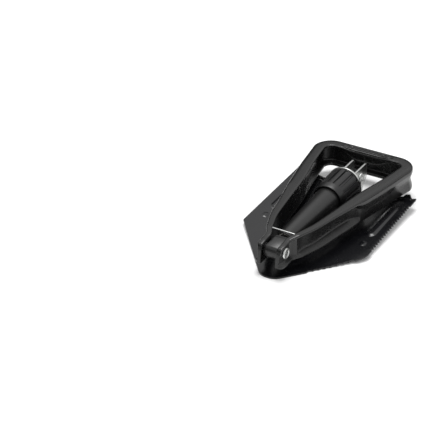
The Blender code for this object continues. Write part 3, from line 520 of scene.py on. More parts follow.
def round_corners(corners: Sequence[tuple[float, ...]], steps: int = 5) -> list[Point]:
    """A closed outline with its corners rounded.

    Args:
        corners: (first, second, radius) of each corner, and its own number of points if it needs
            more than the rest. A radius of 0 keeps it sharp, as one point.
        steps: Points in each round corner.

    Returns:
        The outline's points.
    """
    result: list[Point] = []
    places = [np.array(corner[:2]) for corner in corners]
    for i, (first, second, radius, *own) in enumerate(corners):
        if radius <= 0:
            result.append((first, second))
            continue
        here = places[i]
        before = places[i - 1] - here
        after = places[(i + 1) % len(places)] - here
        start = here + before * min(radius / max(np.linalg.norm(before), 1e-9), 0.48)
        end = here + after * min(radius / max(np.linalg.norm(after), 1e-9), 0.48)
        for t in np.linspace(0, 1, own[0] if own else steps):
            point = (1 - t) ** 2 * start + 2 * t * (1 - t) * here + t**2 * end
            result.append((float(point[0]), float(point[1])))
    return result


class Axis(Enum):
    """The world axis that a turned or extruded shape follows, with its two cross directions."""

    X = ((1, 0, 0), (0, 1, 0), (0, 0, 1))
    Y = ((0, 1, 0), (0, 0, 1), (1, 0, 0))
    Z = ((0, 0, 1), (1, 0, 0), (0, 1, 0))

    def place(self, along: float, first: float, second: float, centre: Sequence[float]) -> np.ndarray:
        """The world point at a distance along the axis and two distances across it."""
        run, one, two = (np.array(direction, float) for direction in self.value)
        return np.array(centre, float) + run * along + one * first + two * second


def turned(
    name: str,
    profile: Sequence[Point],
    axis: Axis,
    centre: Sequence[float],
    segments: int = 96,
) -> bpy.types.Mesh:
    """Turns a profile about an axis.

    Args:
        name: The mesh's name.
        profile: (radius, along) pairs. It closes on itself, or on the axis where it ends at radius 0.
        axis: The axis to turn about.
        centre: A point on the axis, where `along` is 0.
        segments: Steps round the axis.

    Returns:
        A closed mesh.
    """
    angles = np.linspace(0, math.tau, segments, endpoint=False)
    rings = np.array(
        [
            [
                axis.place(along, radius * math.cos(a), radius * math.sin(a), centre)
                for radius, along in profile
            ]
            for a in angles
        ]
    )
    points, faces = loft(rings, wrap=True)
    mesh = make_mesh(name, points, faces)
    bm = bmesh.new()
    bm.from_mesh(mesh)
    bmesh.ops.remove_doubles(bm, verts=bm.verts, dist=1e-7)
    bmesh.ops.dissolve_degenerate(bm, edges=bm.edges, dist=1e-7)
    if profile[0][0] == 0 and profile[-1][0] == 0:
        loose = [edge for edge in bm.edges if not edge.link_faces]
        bmesh.ops.delete(bm, geom=loose, context="EDGES")
    bm.to_mesh(mesh)
    bm.free()
    if signed_volume(mesh) < 0:
        mesh.flip_normals()
    return mesh


def plate(
    name: str,
    outline: Sequence[Point],
    axis: Axis,
    low: float,
    high: float,
    edge: float,
    centre: Sequence[float] = (0, 0, 0),
) -> bpy.types.Mesh:
    """An outline given thickness, with both rims rounded.

    Args:
        name: The mesh's name.
        outline: Pairs along the axis's two cross directions.
        axis: The direction of its thickness.
        low: Where the thickness starts.
        high: Where it ends.
        edge: Size of the rounding.
        centre: The outline's origin.

    Returns:
        A closed mesh.
    """
    shape = np.array(outline)
    area = 0.5 * np.sum(shape[:, 0] * np.roll(shape[:, 1], -1) - shape[:, 1] * np.roll(shape[:, 0], -1))
    along = np.roll(shape, -1, axis=0) - np.roll(shape, 1, axis=0)
    inward = np.stack([-along[:, 1], along[:, 0]], axis=1) * np.sign(area)
    inward /= np.maximum(np.linalg.norm(inward, axis=1, keepdims=True), 1e-9)
    rings = []
    for t in np.linspace(0, 90, 4):
        sink = edge * (1 - math.sin(math.radians(t)))
        rings.append((low + edge * (1 - math.cos(math.radians(t))), sink))
    rings += [(high + low - level, sink) for level, sink in reversed(rings)]
    built = [
        [axis.place(level, *(corner + push * sink), centre) for corner, push in zip(shape, inward)]
        for level, sink in rings
    ]
    return make_mesh(name, *loft(np.array(built)))


def box(name: str, low: Sequence[float], high: Sequence[float], edge: float) -> bpy.types.Mesh:
    """A box between two corners with all its edges rounded."""
    bm = bmesh.new()
    size = Vector(high) - Vector(low)
    centre = (Vector(high) + Vector(low)) / 2
    bmesh.ops.create_cube(bm, size=1.0, matrix=Matrix.Translation(centre) @ Matrix.Diagonal((*size, 1.0)))
    bmesh.ops.bevel(bm, geom=bm.edges[:], offset=edge, segments=3, affect="EDGES", profile=0.5)
    mesh = bpy.data.meshes.new(name)
    bm.to_mesh(mesh)
    bm.free()
    return mesh


def rod(
    name: str, axis: Axis, centre: Sequence[float], radius: float, low: float, high: float
) -> bpy.types.Mesh:
    """A plain cylinder, used as a cutter or a core."""
    return turned(name, [(0.0, high), (radius, high), (radius, low), (0.0, low)], axis, centre, 48)


class Piece:
    """One visible piece while it is being made."""

    def __init__(self, name: str, mesh: bpy.types.Mesh) -> None:
        """Puts the mesh in the scene as an object at the origin."""
        self.name = name
        self.object = bpy.data.objects.new(name, mesh)
        bpy.context.scene.collection.objects.link(self.object)

    def bake(self) -> None:
        """Turns the object and its live modifiers into a plain mesh."""
        graph = bpy.context.evaluated_depsgraph_get()
        made = bpy.data.meshes.new_from_object(self.object.evaluated_get(graph))
        self.object.modifiers.clear()
        self.object.data = made

    def shape(self, operation: str, *others: bpy.types.Mesh) -> "Piece":
        """Joins other meshes to the piece, or cuts them from it.

        Args:
            operation: UNION or DIFFERENCE.
            others: Closed meshes.

        Returns:
            The piece itself.
        """
        helpers = []
        for mesh in others:
            helper = bpy.data.objects.new(mesh.name, mesh)
            bpy.context.scene.collection.objects.link(helper)
            modifier = self.object.modifiers.new(mesh.name, "BOOLEAN")
            modifier.operation = operation
            modifier.object = helper
            helpers.append(helper)
        self.bake()
        for helper in helpers:
            bpy.data.objects.remove(helper, do_unlink=True)
        return self

    def run_tree(self, tree: "ShapeTree", **values: object) -> "Piece":
        """Runs a Geometry Nodes tree on the piece, with the values of its named inputs."""
        modifier = self.object.modifiers.new(tree.tree.name, "NODES")
        modifier.node_group = tree.tree
        for key, value in values.items():
            modifier[tree.identifier(key.replace("_", " "))] = value
        self.bake()
        return self

    def finish(self, coat: Coat, body: str, replaced: Sequence[str], angle: float = 35.0) -> bpy.types.Object:
        """Dresses the piece and hands it to the frame.

        Args:
            coat: Its finish.
            body: The body that it moves with.
            replaced: The frame's nodes that it stands for.
            angle: Edges sharper than this many degrees stay sharp in shading.

        Returns:
            The finished object.
        """
        mesh = self.object.data
        mesh.materials.clear()
        mesh.materials.append(coat.value.material())
        mesh.shade_smooth()
        mesh.set_sharp_from_angle(angle=math.radians(angle))
        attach(self.object, body)
        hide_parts(*replaced)
        LOG.info("%s: %d faces, rides on %s", self.name, len(mesh.polygons), body)
        return self.object


# ---------------------------------------------------------------- geometry node trees


class ShapeTree(NodeGraph):
    """A Geometry Nodes tree with named inputs, ending in Realize Instances and Set Material."""

    def __init__(self, name: str, numbers: dict[str, float], objects: Sequence[str] = ()) -> None:
        """Makes the tree's interface.

        Args:
            name: The tree's name.
            numbers: Each number input and its default.
            objects: The object inputs.
        """
        super().__init__(bpy.data.node_groups.new(name, "GeometryNodeTree"))
        face = self.tree.interface
        face.new_socket("Geometry", in_out="INPUT", socket_type="NodeSocketGeometry")
        for key, value in numbers.items():
            face.new_socket(key, in_out="INPUT", socket_type="NodeSocketFloat").default_value = value
        for key in objects:
            face.new_socket(key, in_out="INPUT", socket_type="NodeSocketObject")
        face.new_socket("Material", in_out="INPUT", socket_type="NodeSocketMaterial")
        face.new_socket("Geometry", in_out="OUTPUT", socket_type="NodeSocketGeometry")
        self.inputs = self.node("NodeGroupInput")

    def given(self, name: str) -> Socket:
        """One of the tree's named inputs."""
        return Socket(self, self.inputs.outputs[name])

    def identifier(self, name: str) -> str:
        """The identifier that a modifier knows an input by."""
        return next(item.identifier for item in self.tree.interface.items_tree if item.name == name)

    def close(self, geometry: Socket) -> "ShapeTree":
        """Ends the tree on a geometry."""
        real = self.out("GeometryNodeRealizeInstances", {}, {0: geometry})
        sockets = {"Geometry": real, "Material": self.given("Material")}
        dressed = self.out("GeometryNodeSetMaterial", {}, sockets)
        self.node("NodeGroupOutput", {}, {"Geometry": dressed})
        return self

    def attribute(self, name: str) -> Socket:
        """A number stored on the points."""
        settings = {"data_type": "FLOAT"}
        return self.out("GeometryNodeInputNamedAttribute", settings, {"Name": name}, "Attribute")


def serration_tree() -> ShapeTree:
    """Cuts teeth into an edge by drawing its points in.

    Points carry `edge_share` (1 on the edge, 0 inside) and `edge_run` (distance along the edge), and
    they move by `edge_in_x` and `edge_in_y`. Roundness turns the V notches into round bites.
    """
    numbers = {"Pitch": 0.005, "Depth": 0.002, "Start": 0.0, "End": 1.0, "Roundness": 0.0}
    tree = ShapeTree("edge_serration", numbers)
    run = tree.attribute("edge_run")
    phase = ((run - tree.given("Start")) / tree.given("Pitch")).math("FRACT")
    swing = (phase * 2.0 - 1.0).math("ABSOLUTE")
    notch = 1.0 - swing
    bite = (1.0 - swing * swing).math("MAXIMUM", 0.0) ** 0.5
    wave = notch + (bite - notch) * tree.given("Roundness")
    inside = run.math("GREATER_THAN", tree.given("Start")) * run.math("LESS_THAN", tree.given("End"))
    push = wave * inside * tree.given("Depth") * tree.attribute("edge_share")
    offset = tree.out(
        "ShaderNodeCombineXYZ",
        {},
        {0: push * tree.attribute("edge_in_x"), 1: push * tree.attribute("edge_in_y")},
    )
    moved = {"Geometry": tree.given("Geometry"), "Offset": offset}
    return tree.close(tree.out("GeometryNodeSetPosition", {}, moved))


def rib_tree() -> ShapeTree:
    """Presses narrow grooves into a turned collar, and leaves broad ribs between them.

    The collar's axis runs along Y through X = 0 and Z = `Axis Height`.
    """
    numbers = {
        "Ribs": 16.0,
        "Axis Height": 0.0,
        "Groove Width": 0.0015,
        "Groove Depth": 0.001,
        "Start": 0.0,
        "End": 1.0,
        "Inner Radius": 0.0,
    }
    tree = ShapeTree("collar_ribs", numbers)
    place = tree.node("ShaderNodeSeparateXYZ", {}, {0: tree.out("GeometryNodeInputPosition")})
    x, y, z = (Socket(tree, output) for output in place.outputs)
    height = z - tree.given("Axis Height")
    radius = (x * x + height * height) ** 0.5
    turn = x.math("ARCTAN2", height) / math.tau + 1.0
    phase = (turn * tree.given("Ribs")).math("FRACT")
    across = (phase - 0.5).math("ABSOLUTE") * radius * math.tau / tree.given("Ribs")
    half = tree.given("Groove Width") / 2.0
    wall = tree.out(
        "ShaderNodeMapRange",
        {"interpolation_type": "SMOOTHSTEP"},
        {0: across, 1: half * 0.7, 2: half * 1.15, 3: 1.0, 4: 0.0},
    )
    run_out = 1.1 * MM
    start = tree.out(
        "ShaderNodeMapRange",
        {"interpolation_type": "SMOOTHSTEP"},
        {0: y, 1: tree.given("Start"), 2: tree.given("Start") + run_out, 3: 0.0, 4: 1.0},
    )
    end = tree.out(
        "ShaderNodeMapRange",
        {"interpolation_type": "SMOOTHSTEP"},
        {0: y, 1: tree.given("End") - run_out, 2: tree.given("End"), 3: 1.0, 4: 0.0},
    )
    outside = radius.math("GREATER_THAN", tree.given("Inner Radius"))
    push = wall * start * end * outside * tree.given("Groove Depth") / radius
    offset = tree.out("ShaderNodeCombineXYZ", {}, {0: x * push * -1.0, 2: height * push * -1.0})
    moved = {"Geometry": tree.given("Geometry"), "Offset": offset}
    return tree.close(tree.out("GeometryNodeSetPosition", {}, moved))


def copies_tree() -> ShapeTree:
    """Sets one copy of an object at each point of a mesh, such as a rivet in each hole."""
    tree = ShapeTree("copies_at_points", {}, ["Copied"])
    copied = tree.out("GeometryNodeObjectInfo", {}, {"Object": tree.given("Copied")}, "Geometry")
    sockets = {"Points": tree.given("Geometry"), "Instance": copied}
    placed = tree.out("GeometryNodeInstanceOnPoints", {}, sockets)
    return tree.close(placed)


# ---------------------------------------------------------------- sub-assemblies


@dataclass
class Hinges:
    """The two hinge axes and the lengths between them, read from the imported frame."""

    rear: Vector
    front: Vector

    @classmethod
    def of(cls, frame: dict) -> "Hinges":
        """Reads the hinges from the frame's joints."""
        places = {joint["name"]: joint.get("pos_m") for joint in frame["joints"]}
        return cls(Vector(places["handle_fold"]), Vector(places["blade_fold"]))


def catmull(rows: np.ndarray, spacing: float) -> np.ndarray:
    """Samples a smooth curve through rows of values.

    Args:
        rows: One row of values for each point; the first two columns measure the distance.
        spacing: Distance between samples.

    Returns:
        The sampled rows, first and last included.
    """
    steps = np.linalg.norm(np.diff(rows[:, :2], axis=0), axis=1)
    at = np.concatenate([[0], np.cumsum(steps)])
    slopes = np.gradient(rows, at, axis=0)
    result = []
    for i, length in enumerate(steps):
        count = max(2, math.ceil(length / spacing))
        for t in np.linspace(0, 1, count, endpoint=False):
            result.append(
                (2 * t**3 - 3 * t**2 + 1) * rows[i]
                + (t**3 - 2 * t**2 + t) * length * slopes[i]
                + (3 * t**2 - 2 * t**3) * rows[i + 1]
                + (t**3 - t**2) * length * slopes[i + 1]
            )
    return np.array([*result, rows[-1]])


@dataclass
class BarSection:
    """The cross-section of the handle's bar at one place, with lengths in metres.

    across 0 is its inner face and `width` its outer face. toe is how far the lower flange stands out,
    pocket and channel are how far the outer and inner sides sink, wall is how gently the pocket
    starts, hood is how far the inner upper flange hangs down, groove is the depth of the lengthwise
    grooves in its top, and shoulder is the size of its outer top rounding.
    """

    width: float
    top: float
    bottom: float
    toe: float = 0.0
    pocket: float = 0.002
    wall: float = 0.008
    channel: float = 0.0065
    hood: float = 0.0
    groove: float = 0.0
    shoulder: float = 0.0

    def ring(self) -> list[Point]:
        """Points round the section as (across, height), starting at its inner top edge."""
        half_height = (self.top + self.bottom) / 2
        flange = min(2.8 * MM, 0.6 * half_height)
        edge = min(3.2 * MM, 0.32 * self.width, 0.5 * half_height)
        lip = max(flange, edge)
        outer = self.width
        outer_edge = max(edge, self.shoulder)
        outer_lip = max(lip, outer_edge)
        wall = min(self.wall, half_height - outer_lip - 0.2 * MM)
        foot_wall = min(wall + 0.45 * self.pocket, half_height - lip - 0.2 * MM)
        slope = min(1.5 * MM, half_height - lip - 0.1 * MM)
        round_in = edge + 0.55 * self.hood
        corners = [
            (0.0, self.top, round_in, 40),
            (outer, self.top, outer_edge, 9),
            (outer, self.top - outer_lip, 0.7 * MM),
            (outer - self.pocket, self.top - outer_lip - wall, 1.2 * MM),
            (outer - self.pocket, -self.bottom + lip + foot_wall, 1.2 * MM),
            (outer + self.toe, -self.bottom + lip, 0.7 * MM),
            (outer + self.toe, -self.bottom, 1.3 * MM),
            (0.0, -self.bottom, 1.3 * MM),
            (0.0, -self.bottom + lip, 0.7 * MM),
            (self.channel, -self.bottom + lip + slope, 1.2 * MM),
            (self.channel, self.top - lip - self.hood - slope, 1.2 * MM),
            (0.0, self.top - lip - self.hood, 0.7 * MM + 0.15 * self.hood),
        ]
        return [self.sunk(across, height) for across, height in round_corners(corners, 6)]

    def sunk(self, across: float, height: float) -> Point:
        """Sinks a point of the top into the nearest lengthwise groove."""
        if self.groove <= 0 or height < self.top - 6 * MM or across > 0.75 * self.width:
            return across, height
        nearest = min(abs(across - share * self.width) for share in (0.11, 0.27, 0.45, 0.63))
        bite = max(1 - nearest / (0.045 * self.width), 0.0)
        depth = self.groove * bite * bite * (3 - 2 * bite)
        return across + 0.4 * depth, height - depth


@dataclass
class Handle:
    """The D handle casting, its hinge pin and the stop wire across its arms."""

    hinges: Hinges
    bar: float = 14.0 * MM
    corner_outer: float = 22.5 * MM
    hood: float = 9.0 * MM
    groove: float = 0.75 * MM
    shoulder: float = 6.5 * MM
    ear_inner: float = 8.8 * MM
    pin_radius: float = 3.2 * MM
    wire_radius: float = 0.9 * MM
    # y from the hinge, top, width, bottom, toe, pocket and spread out from the ear's line, in mm
    ear_rows: tuple[tuple[float, ...], ...] = (
        (-14.4, -8.0, 3.9, 11.6, 0.6, 0.0, 0.0),
        (-13.6, -1.0, 3.9, 12.3, 1.2, 0.2, 0.0),
        (-12.2, 5.0, 4.8, 12.5, 2.0, 1.1, 0.0),
        (-10.0, 9.6, 5.6, 12.6, 2.4, 1.8, 0.0),
        (-6.0, 10.8, 6.0, 12.6, 2.6, 2.1, 0.0),
        (4.0, 12.0, 6.0, 12.6, 2.6, 2.1, 0.0),
        (8.0, 12.6, 6.0, 12.6, 2.6, 2.1, 0.0),
        (10.5, 13.0, 6.4, 12.6, 2.6, 2.1, 0.69),
        (13.0, 13.4, 6.8, 12.6, 2.6, 0.6, 1.64),
        (15.5, 13.8, 7.0, 12.6, 2.6, 0.6, 2.97),
        (18.0, 14.3, 7.2, 12.6, 2.6, 3.4, 4.30),
    )
    # share of the way to the corner, spread share, width, toe, pocket, wall, channel and shoulder
    arm_rows: tuple[tuple[float, ...], ...] = (
        (0.000, 0.115, 7.2, 2.6, 3.4, 1.0, 0.0, 0.0),
        (0.030, 0.155, 7.6, 2.6, 4.4, 1.0, 0.0, 0.0),
        (0.120, 0.290, 8.4, 2.6, 5.4, 1.0, 0.0, 0.0),
        (0.300, 0.437, 10.0, 2.2, 6.6, 1.0, 0.0, 0.0),
        (0.400, 0.504, 11.8, 1.4, 7.2, 1.0, 0.0, 0.5),
        (0.450, 0.536, 12.8, 0.6, 7.0, 1.2, 0.0, 2.0),
        (0.480, 0.555, 13.5, 0.0, 5.0, 1.8, 0.0, 3.4),
        (0.505, 0.570, 14.1, -0.8, 1.6, 4.0, 0.0, 4.8),
        (0.540, 0.594, 14.8, -1.4, 1.2, 6.0, 0.0, 6.0),
        (0.640, 0.680, 15.2, -2.0, 1.2, 8.0, 1.0, 6.5),
        (0.760, 0.806, 14.6, -2.0, 1.4, 8.0, 4.0, 6.5),
        (0.900, 0.930, 13.8, -1.2, 1.8, 8.0, 6.0, 6.5),
        (1.000, 1.000, 14.0, 0.0, 2.0, 8.0, 6.5, 6.5),
    )

    def __post_init__(self) -> None:
        """Reads the casting's box from the frame."""
        low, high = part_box("handle_frame")
        self.half_width = high.x
        self.outer_y = high.y - self.hinges.rear.y
        self.top = high.z - self.hinges.rear.z
        self.corner_x = self.half_width - self.corner_outer
        self.corner_y = self.outer_y - self.corner_outer

    def right_half(self) -> np.ndarray:
        """Rings from the middle of the crossbar to the end of the right ear."""
        bottom = 12.2 * MM
        inner_y = self.outer_y - self.bar
        rings = []
        for x in np.linspace(0.0, self.corner_x, 30)[:-1]:
            fade = min(max((x / self.corner_x - 0.25) / 0.65, 0.0), 1.0)
            ease = (1 + math.cos(math.pi * fade)) / 2
            section = BarSection(
                self.bar,
                self.top,
                bottom,
                hood=self.hood * ease,
                groove=self.groove * min(1.0, 3 * ease),
                shoulder=self.shoulder,
            )
            rings.append(self.placed(section, (x, inner_y), (0.0, 1.0)))
        for angle in np.radians(np.linspace(90, 0, 28)):
            ray = (math.cos(angle), math.sin(angle))
            reach = self.corner_outer - self.bar
            start = (self.corner_x + ray[0] * reach, self.corner_y + ray[1] * reach)
            section = BarSection(self.bar, self.top, bottom, shoulder=self.shoulder)
            rings.append(self.placed(section, start, ray))
        rings += self.arm_rings(bottom)
        rings += self.ear_rings()
        return np.array(rings)

    def arm_rings(self, bottom: float) -> list[np.ndarray]:
        """Rings along the right arm, from the corner to the ear."""
        spread_width = self.corner_x + self.corner_outer - self.bar - self.ear_inner
        start = self.ear_rows[-1]
        arm_start = start[0] * MM
        length = self.corner_y - arm_start
        rows = np.array(self.arm_rows)
        scaled = np.column_stack([rows[:, 0] * length, np.zeros(len(rows)), rows])
        result = []
        for row in catmull(scaled, 1.5 * MM)[::-1][1:]:
            share, spread, width, toe, pocket, wall, channel, shoulder = row[2:]
            rise = min(1.0, 2 * share)
            section = BarSection(
                width * MM,
                start[1] * MM + rise * (self.top - start[1] * MM),
                start[3] * MM + rise * (bottom - start[3] * MM),
                toe * MM,
                max(pocket, 0.0) * MM,
                wall * MM,
                max(channel, 0.0) * MM,
                shoulder=shoulder * MM,
            )
            origin = (self.ear_inner + spread * spread_width, arm_start + share * length)
            result.append(self.placed(section, origin, (1.0, 0.0)))
        return result

    def ear_rings(self) -> list[np.ndarray]:
        """Rings along the right ear, towards its rear end."""
        result = []
        for row in catmull(np.array(self.ear_rows), 0.5)[::-1][1:]:
            y, top, width, bottom, toe, pocket, spread = (float(value) * MM for value in row)
            section = BarSection(width, top, bottom, toe, max(pocket, 0.0), 1.0 * MM, 0.0)
            result.append(self.placed(section, (self.ear_inner + spread, y), (1.0, 0.0)))
        return result

    def placed(self, section: BarSection, start: Point, across: Point) -> np.ndarray:
        """A section's ring in the world, from a plan point measured from the hinge."""
        ring = np.array(section.ring())
        origin = self.hinges.rear
        x = start[0] + across[0] * ring[:, 0]
        y = origin.y + start[1] + across[1] * ring[:, 0]
        return np.column_stack([x, y, origin.z + ring[:, 1]])

    def make_casting(self) -> None:
        """Makes the casting from its right half and that half's mirror image."""
        right = self.right_half()
        left = right[::-1].copy()
        left[:, :, 0] *= -1
        rings = np.concatenate([left[:-1], right])
        piece = Piece("handle_casting", make_mesh("handle_casting", *loft(rings)))
        centre = self.hinges.rear
        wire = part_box("stop_wire")
        place = ((wire[0] + wire[1]) / 2)[:]
        reach = wire[1].x + GAP
        piece.shape(
            "DIFFERENCE",
            rod("bore", Axis.X, centre, self.pin_radius + GAP, -0.03, 0.03),
            rod("wire_hole", Axis.X, place, self.wire_radius + GAP, -reach, reach),
        )
        piece.finish(Coat.HANDLE, "handle", ["handle_frame"], angle=38.0)

    def make_wire(self) -> None:
        """Makes the straight stop wire, its ends rounded inside the arms."""
        low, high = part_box("stop_wire")
        middle = (low + high) / 2
        half = high.x
        radius = self.wire_radius
        end = [
            (radius * math.cos(a), half - radius + radius * math.sin(a))
            for a in np.linspace(math.pi / 2, 0, 7)
        ]
        end[0] = (0.0, half)
        profile = end + [(r, -along) for r, along in reversed(end)]
        mesh = turned("wire", profile, Axis.X, (0, middle.y, middle.z), 32)
        Piece("stop_wire_bar", mesh).finish(Coat.PLATE, "handle", ["stop_wire"])

    def make(self) -> None:
        """Makes the handle's pieces."""
        self.make_casting()
        self.make_wire()
        HingePin("handle", self.hinges.rear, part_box("handle_pin")[1].x).make()


@dataclass
class HingePin:
    """A headed pin: domed rims round shallow dished faces, with two spanner holes in each."""

    body: str
    centre: Vector
    half_length: float
    shank: float = 3.2 * MM
    head: float = 6.4 * MM
    head_height: float = 1.9 * MM
    hole: float = 1.15 * MM
    hole_offset: float = 2.1 * MM

    def make(self) -> None:
        """Makes the pin."""
        top = self.half_length
        under = top - self.head_height
        half = round_corners(
            [
                (0.0, top - 0.3 * MM, 0.0),
                (0.60 * self.head, top - 0.5 * MM, 0.4 * MM),
                (0.70 * self.head, top, 0.5 * MM),
                (0.84 * self.head, top, 0.4 * MM),
                (self.head, top - 0.9 * MM, 0.5 * MM),
                (self.head, under, 0.25 * MM),
                (self.shank, under, 0.0),
            ],
            5,
        )
        profile = half + [(radius, -along) for radius, along in reversed(half)]
        piece = Piece(f"{self.body}_hinge_pin", turned("pin", profile, Axis.X, self.centre, 64))
        holes = []
        for side in (-1, 1):
            for offset in (-self.hole_offset, self.hole_offset):
                centre = (side * top, self.centre.y + 0.35 * offset, self.centre.z + offset)
                holes.append(rod("spanner_hole", Axis.X, centre, self.hole, -1.7 * MM, 1.7 * MM))
        piece.shape("DIFFERENCE", *holes)
        piece.finish(Coat.PLATE, self.body, [f"{self.body}_pin"], angle=40.0)


@dataclass
class Shaft:
    """The tapered tube, the two tongues, the collar and the thrust washer."""

    hinges: Hinges
    ribs: int = 16
    collar_band: float = 8.0 * MM
    groove_width: float = 2.9 * MM
    groove_depth: float = 2.0 * MM
    tongue_edge: float = 0.8 * MM

    def make_tube(self) -> None:
        """Makes the tube with its rear edge rolled in."""
        low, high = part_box("shaft_tube")
        centre = (0, 0, self.hinges.rear.z)
        front = high.x
        rear = 10.3 * MM
        bore = 8.7 * MM
        corners = [
            (front, high.y, 0.5 * MM),
            (rear + 0.25 * (front - rear) * 0.04, low.y + 1.2 * MM, 2.0 * MM),
            (rear, low.y, 0.9 * MM),
            (bore, low.y, 0.7 * MM),
            (bore, high.y - 12 * MM, 0.0),
            (front - 1.2 * MM, high.y - 8 * MM, 0.0),
            (front - 1.2 * MM, high.y, 0.0),
        ]
        mesh = turned("tube", round_corners(corners, 6), Axis.Y, centre, 128)
        Piece("shaft_skin", mesh).finish(Coat.TUBE, "tube", ["shaft_tube"])

    def make_collar(self) -> None:
        """Makes the collar: a turned shell, then its grooves."""
        low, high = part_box("locking_collar")
        centre = (0, 0, self.hinges.front.z)
        front = high.x
        rear = front - 3.0 * MM
        band = front - 1.2 * MM
        bore = rear - 1.2 * MM
        pocket = 17.9 * MM
        outer = [
            (front - 1.6 * MM, high.y, 0.9 * MM),
            (front, high.y - 1.6 * MM, 1.2 * MM),
        ]
        steps = np.linspace(high.y - 3 * MM, low.y + self.collar_band + MM, 56)
        share = (steps - low.y - self.collar_band) / (high.y - low.y - self.collar_band)
        outer += [(band + s * (front - band), float(y), 0.0) for s, y in zip(share, steps)]
        outer += [
            (band, low.y + self.collar_band - 0.5 * MM, 1.5 * MM),
            (rear + 1.0 * MM, low.y + 2.8 * MM, 3.0 * MM),
            (rear + 0.2 * MM, low.y, 0.8 * MM),
            (bore, low.y, 0.5 * MM),
            (bore, low.y + 4.5 * MM, 0.0),
            (pocket, low.y + 4.5 * MM, 0.0),
            (pocket, high.y - 4 * MM, 0.0),
            (11.8 * MM, high.y - 4 * MM, 0.0),
            (11.8 * MM, high.y, 0.4 * MM),
        ]
        mesh = turned("collar", round_corners(outer, 6), Axis.Y, centre, 24 * self.ribs)
        piece = Piece("collar_grip", mesh)
        piece.run_tree(
            rib_tree(),
            Ribs=float(self.ribs),
            Axis_Height=self.hinges.front.z,
            Groove_Width=self.groove_width,
            Groove_Depth=self.groove_depth,
            Start=low.y + self.collar_band,
            End=high.y - 1.2 * MM,
            Inner_Radius=18.2 * MM,
            Material=Coat.COLLAR.value.material(),
        )
        piece.finish(Coat.COLLAR, "collar", ["locking_collar"], angle=50.0)

    def make_washer(self) -> None:
        """Makes the thrust washer with rounded rims and a shallow turned step on its front."""
        low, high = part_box("thrust_washer")
        radius = high.x
        bore = 10.7 * MM
        corners = [
            (radius, high.y, 0.7 * MM),
            (radius, low.y, 0.7 * MM),
            (bore, low.y, 0.3 * MM),
            (bore, high.y, 0.4 * MM),
            (radius - 4.6 * MM, high.y, 0.15 * MM),
            (radius - 4.2 * MM, high.y - 0.25 * MM, 0.15 * MM),
            (radius - 3.6 * MM, high.y - 0.25 * MM, 0.15 * MM),
            (radius - 3.2 * MM, high.y, 0.15 * MM),
        ]
        mesh = turned("washer", round_corners(corners, 6), Axis.Y, (0, 0, self.hinges.front.z), 128)
        Piece("washer_plate", mesh).finish(Coat.PLATE, "washer", ["thrust_washer"])

    def make_tongue(self, name: str, hinge: Vector, forward: float, end_radius: float) -> None:
        """Makes one tongue: a block with a round end, and the spigot that enters the tube.

        Args:
            name: The frame's node.
            hinge: The hinge that it carries.
            forward: 1 if the block runs towards +Y, or -1.
            end_radius: Radius of its round end.
        """
        low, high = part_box(name)
        node_points = np.array([vert.co for vert in bpy.data.objects[name].data.vertices])
        block = node_points[np.abs(node_points[:, 1] - hinge.y) < 12 * MM]
        half_width = float(block[:, 0].max())
        half_height = float(block[:, 2].max()) - hinge.z
        spigot = high.x if high.x > half_width + 0.1 * MM else float(high.z - low.z) / 2
        spigot = min(spigot, (high.x - low.x) / 2) if name == "front_tongue" else 6.5 * MM
        reach = (high.y - hinge.y) if forward > 0 else (hinge.y - low.y)
        block_end = reach - 22 * MM
        angle = math.asin(half_height / end_radius)
        arc = [
            (-forward * end_radius * math.cos(a), end_radius * math.sin(a))
            for a in np.linspace(angle, -angle, 25)
        ]
        outline = arc + [(forward * block_end, -half_height), (forward * block_end, half_height)]
        centre = (0, hinge.y, hinge.z)
        body = plate(name, outline, Axis.X, -half_width, half_width, self.tongue_edge, centre)
        piece = Piece(f"{name}_block", body)
        span = sorted((forward * (block_end - 2 * MM), forward * reach))
        piece.shape("UNION", rod("spigot", Axis.Y, centre, spigot, *span))
        piece.shape("DIFFERENCE", rod("bore", Axis.X, centre, 3.3 * MM, -0.03, 0.03))
        piece.finish(Coat.TUBE, "core", [name], angle=40.0)

    def make(self) -> None:
        """Makes the shaft's pieces."""
        self.make_tube()
        self.make_collar()
        self.make_washer()
        self.make_tongue("rear_tongue", self.hinges.rear, 1.0, 9.5 * MM)
        self.make_tongue("front_tongue", self.hinges.front, -1.0, 8.6 * MM)


@dataclass
class Bead:
    """A raised rib pressed into the blade, along a line on each wing."""

    x: float
    rear: float
    front: float
    half_width: float
    height: float

    def lift(self, x: np.ndarray, y: np.ndarray) -> np.ndarray:
        """How far the bead raises each point, with y measured from the handle hinge."""
        beyond = np.maximum(np.maximum(self.front - y, y - self.rear), 0.0)
        distance = np.hypot(np.abs(x) - self.x, beyond)
        share = np.clip(1 - (distance - 0.35 * self.half_width) / (0.65 * self.half_width), 0, 1)
        return self.height * share * share * (3 - 2 * share)


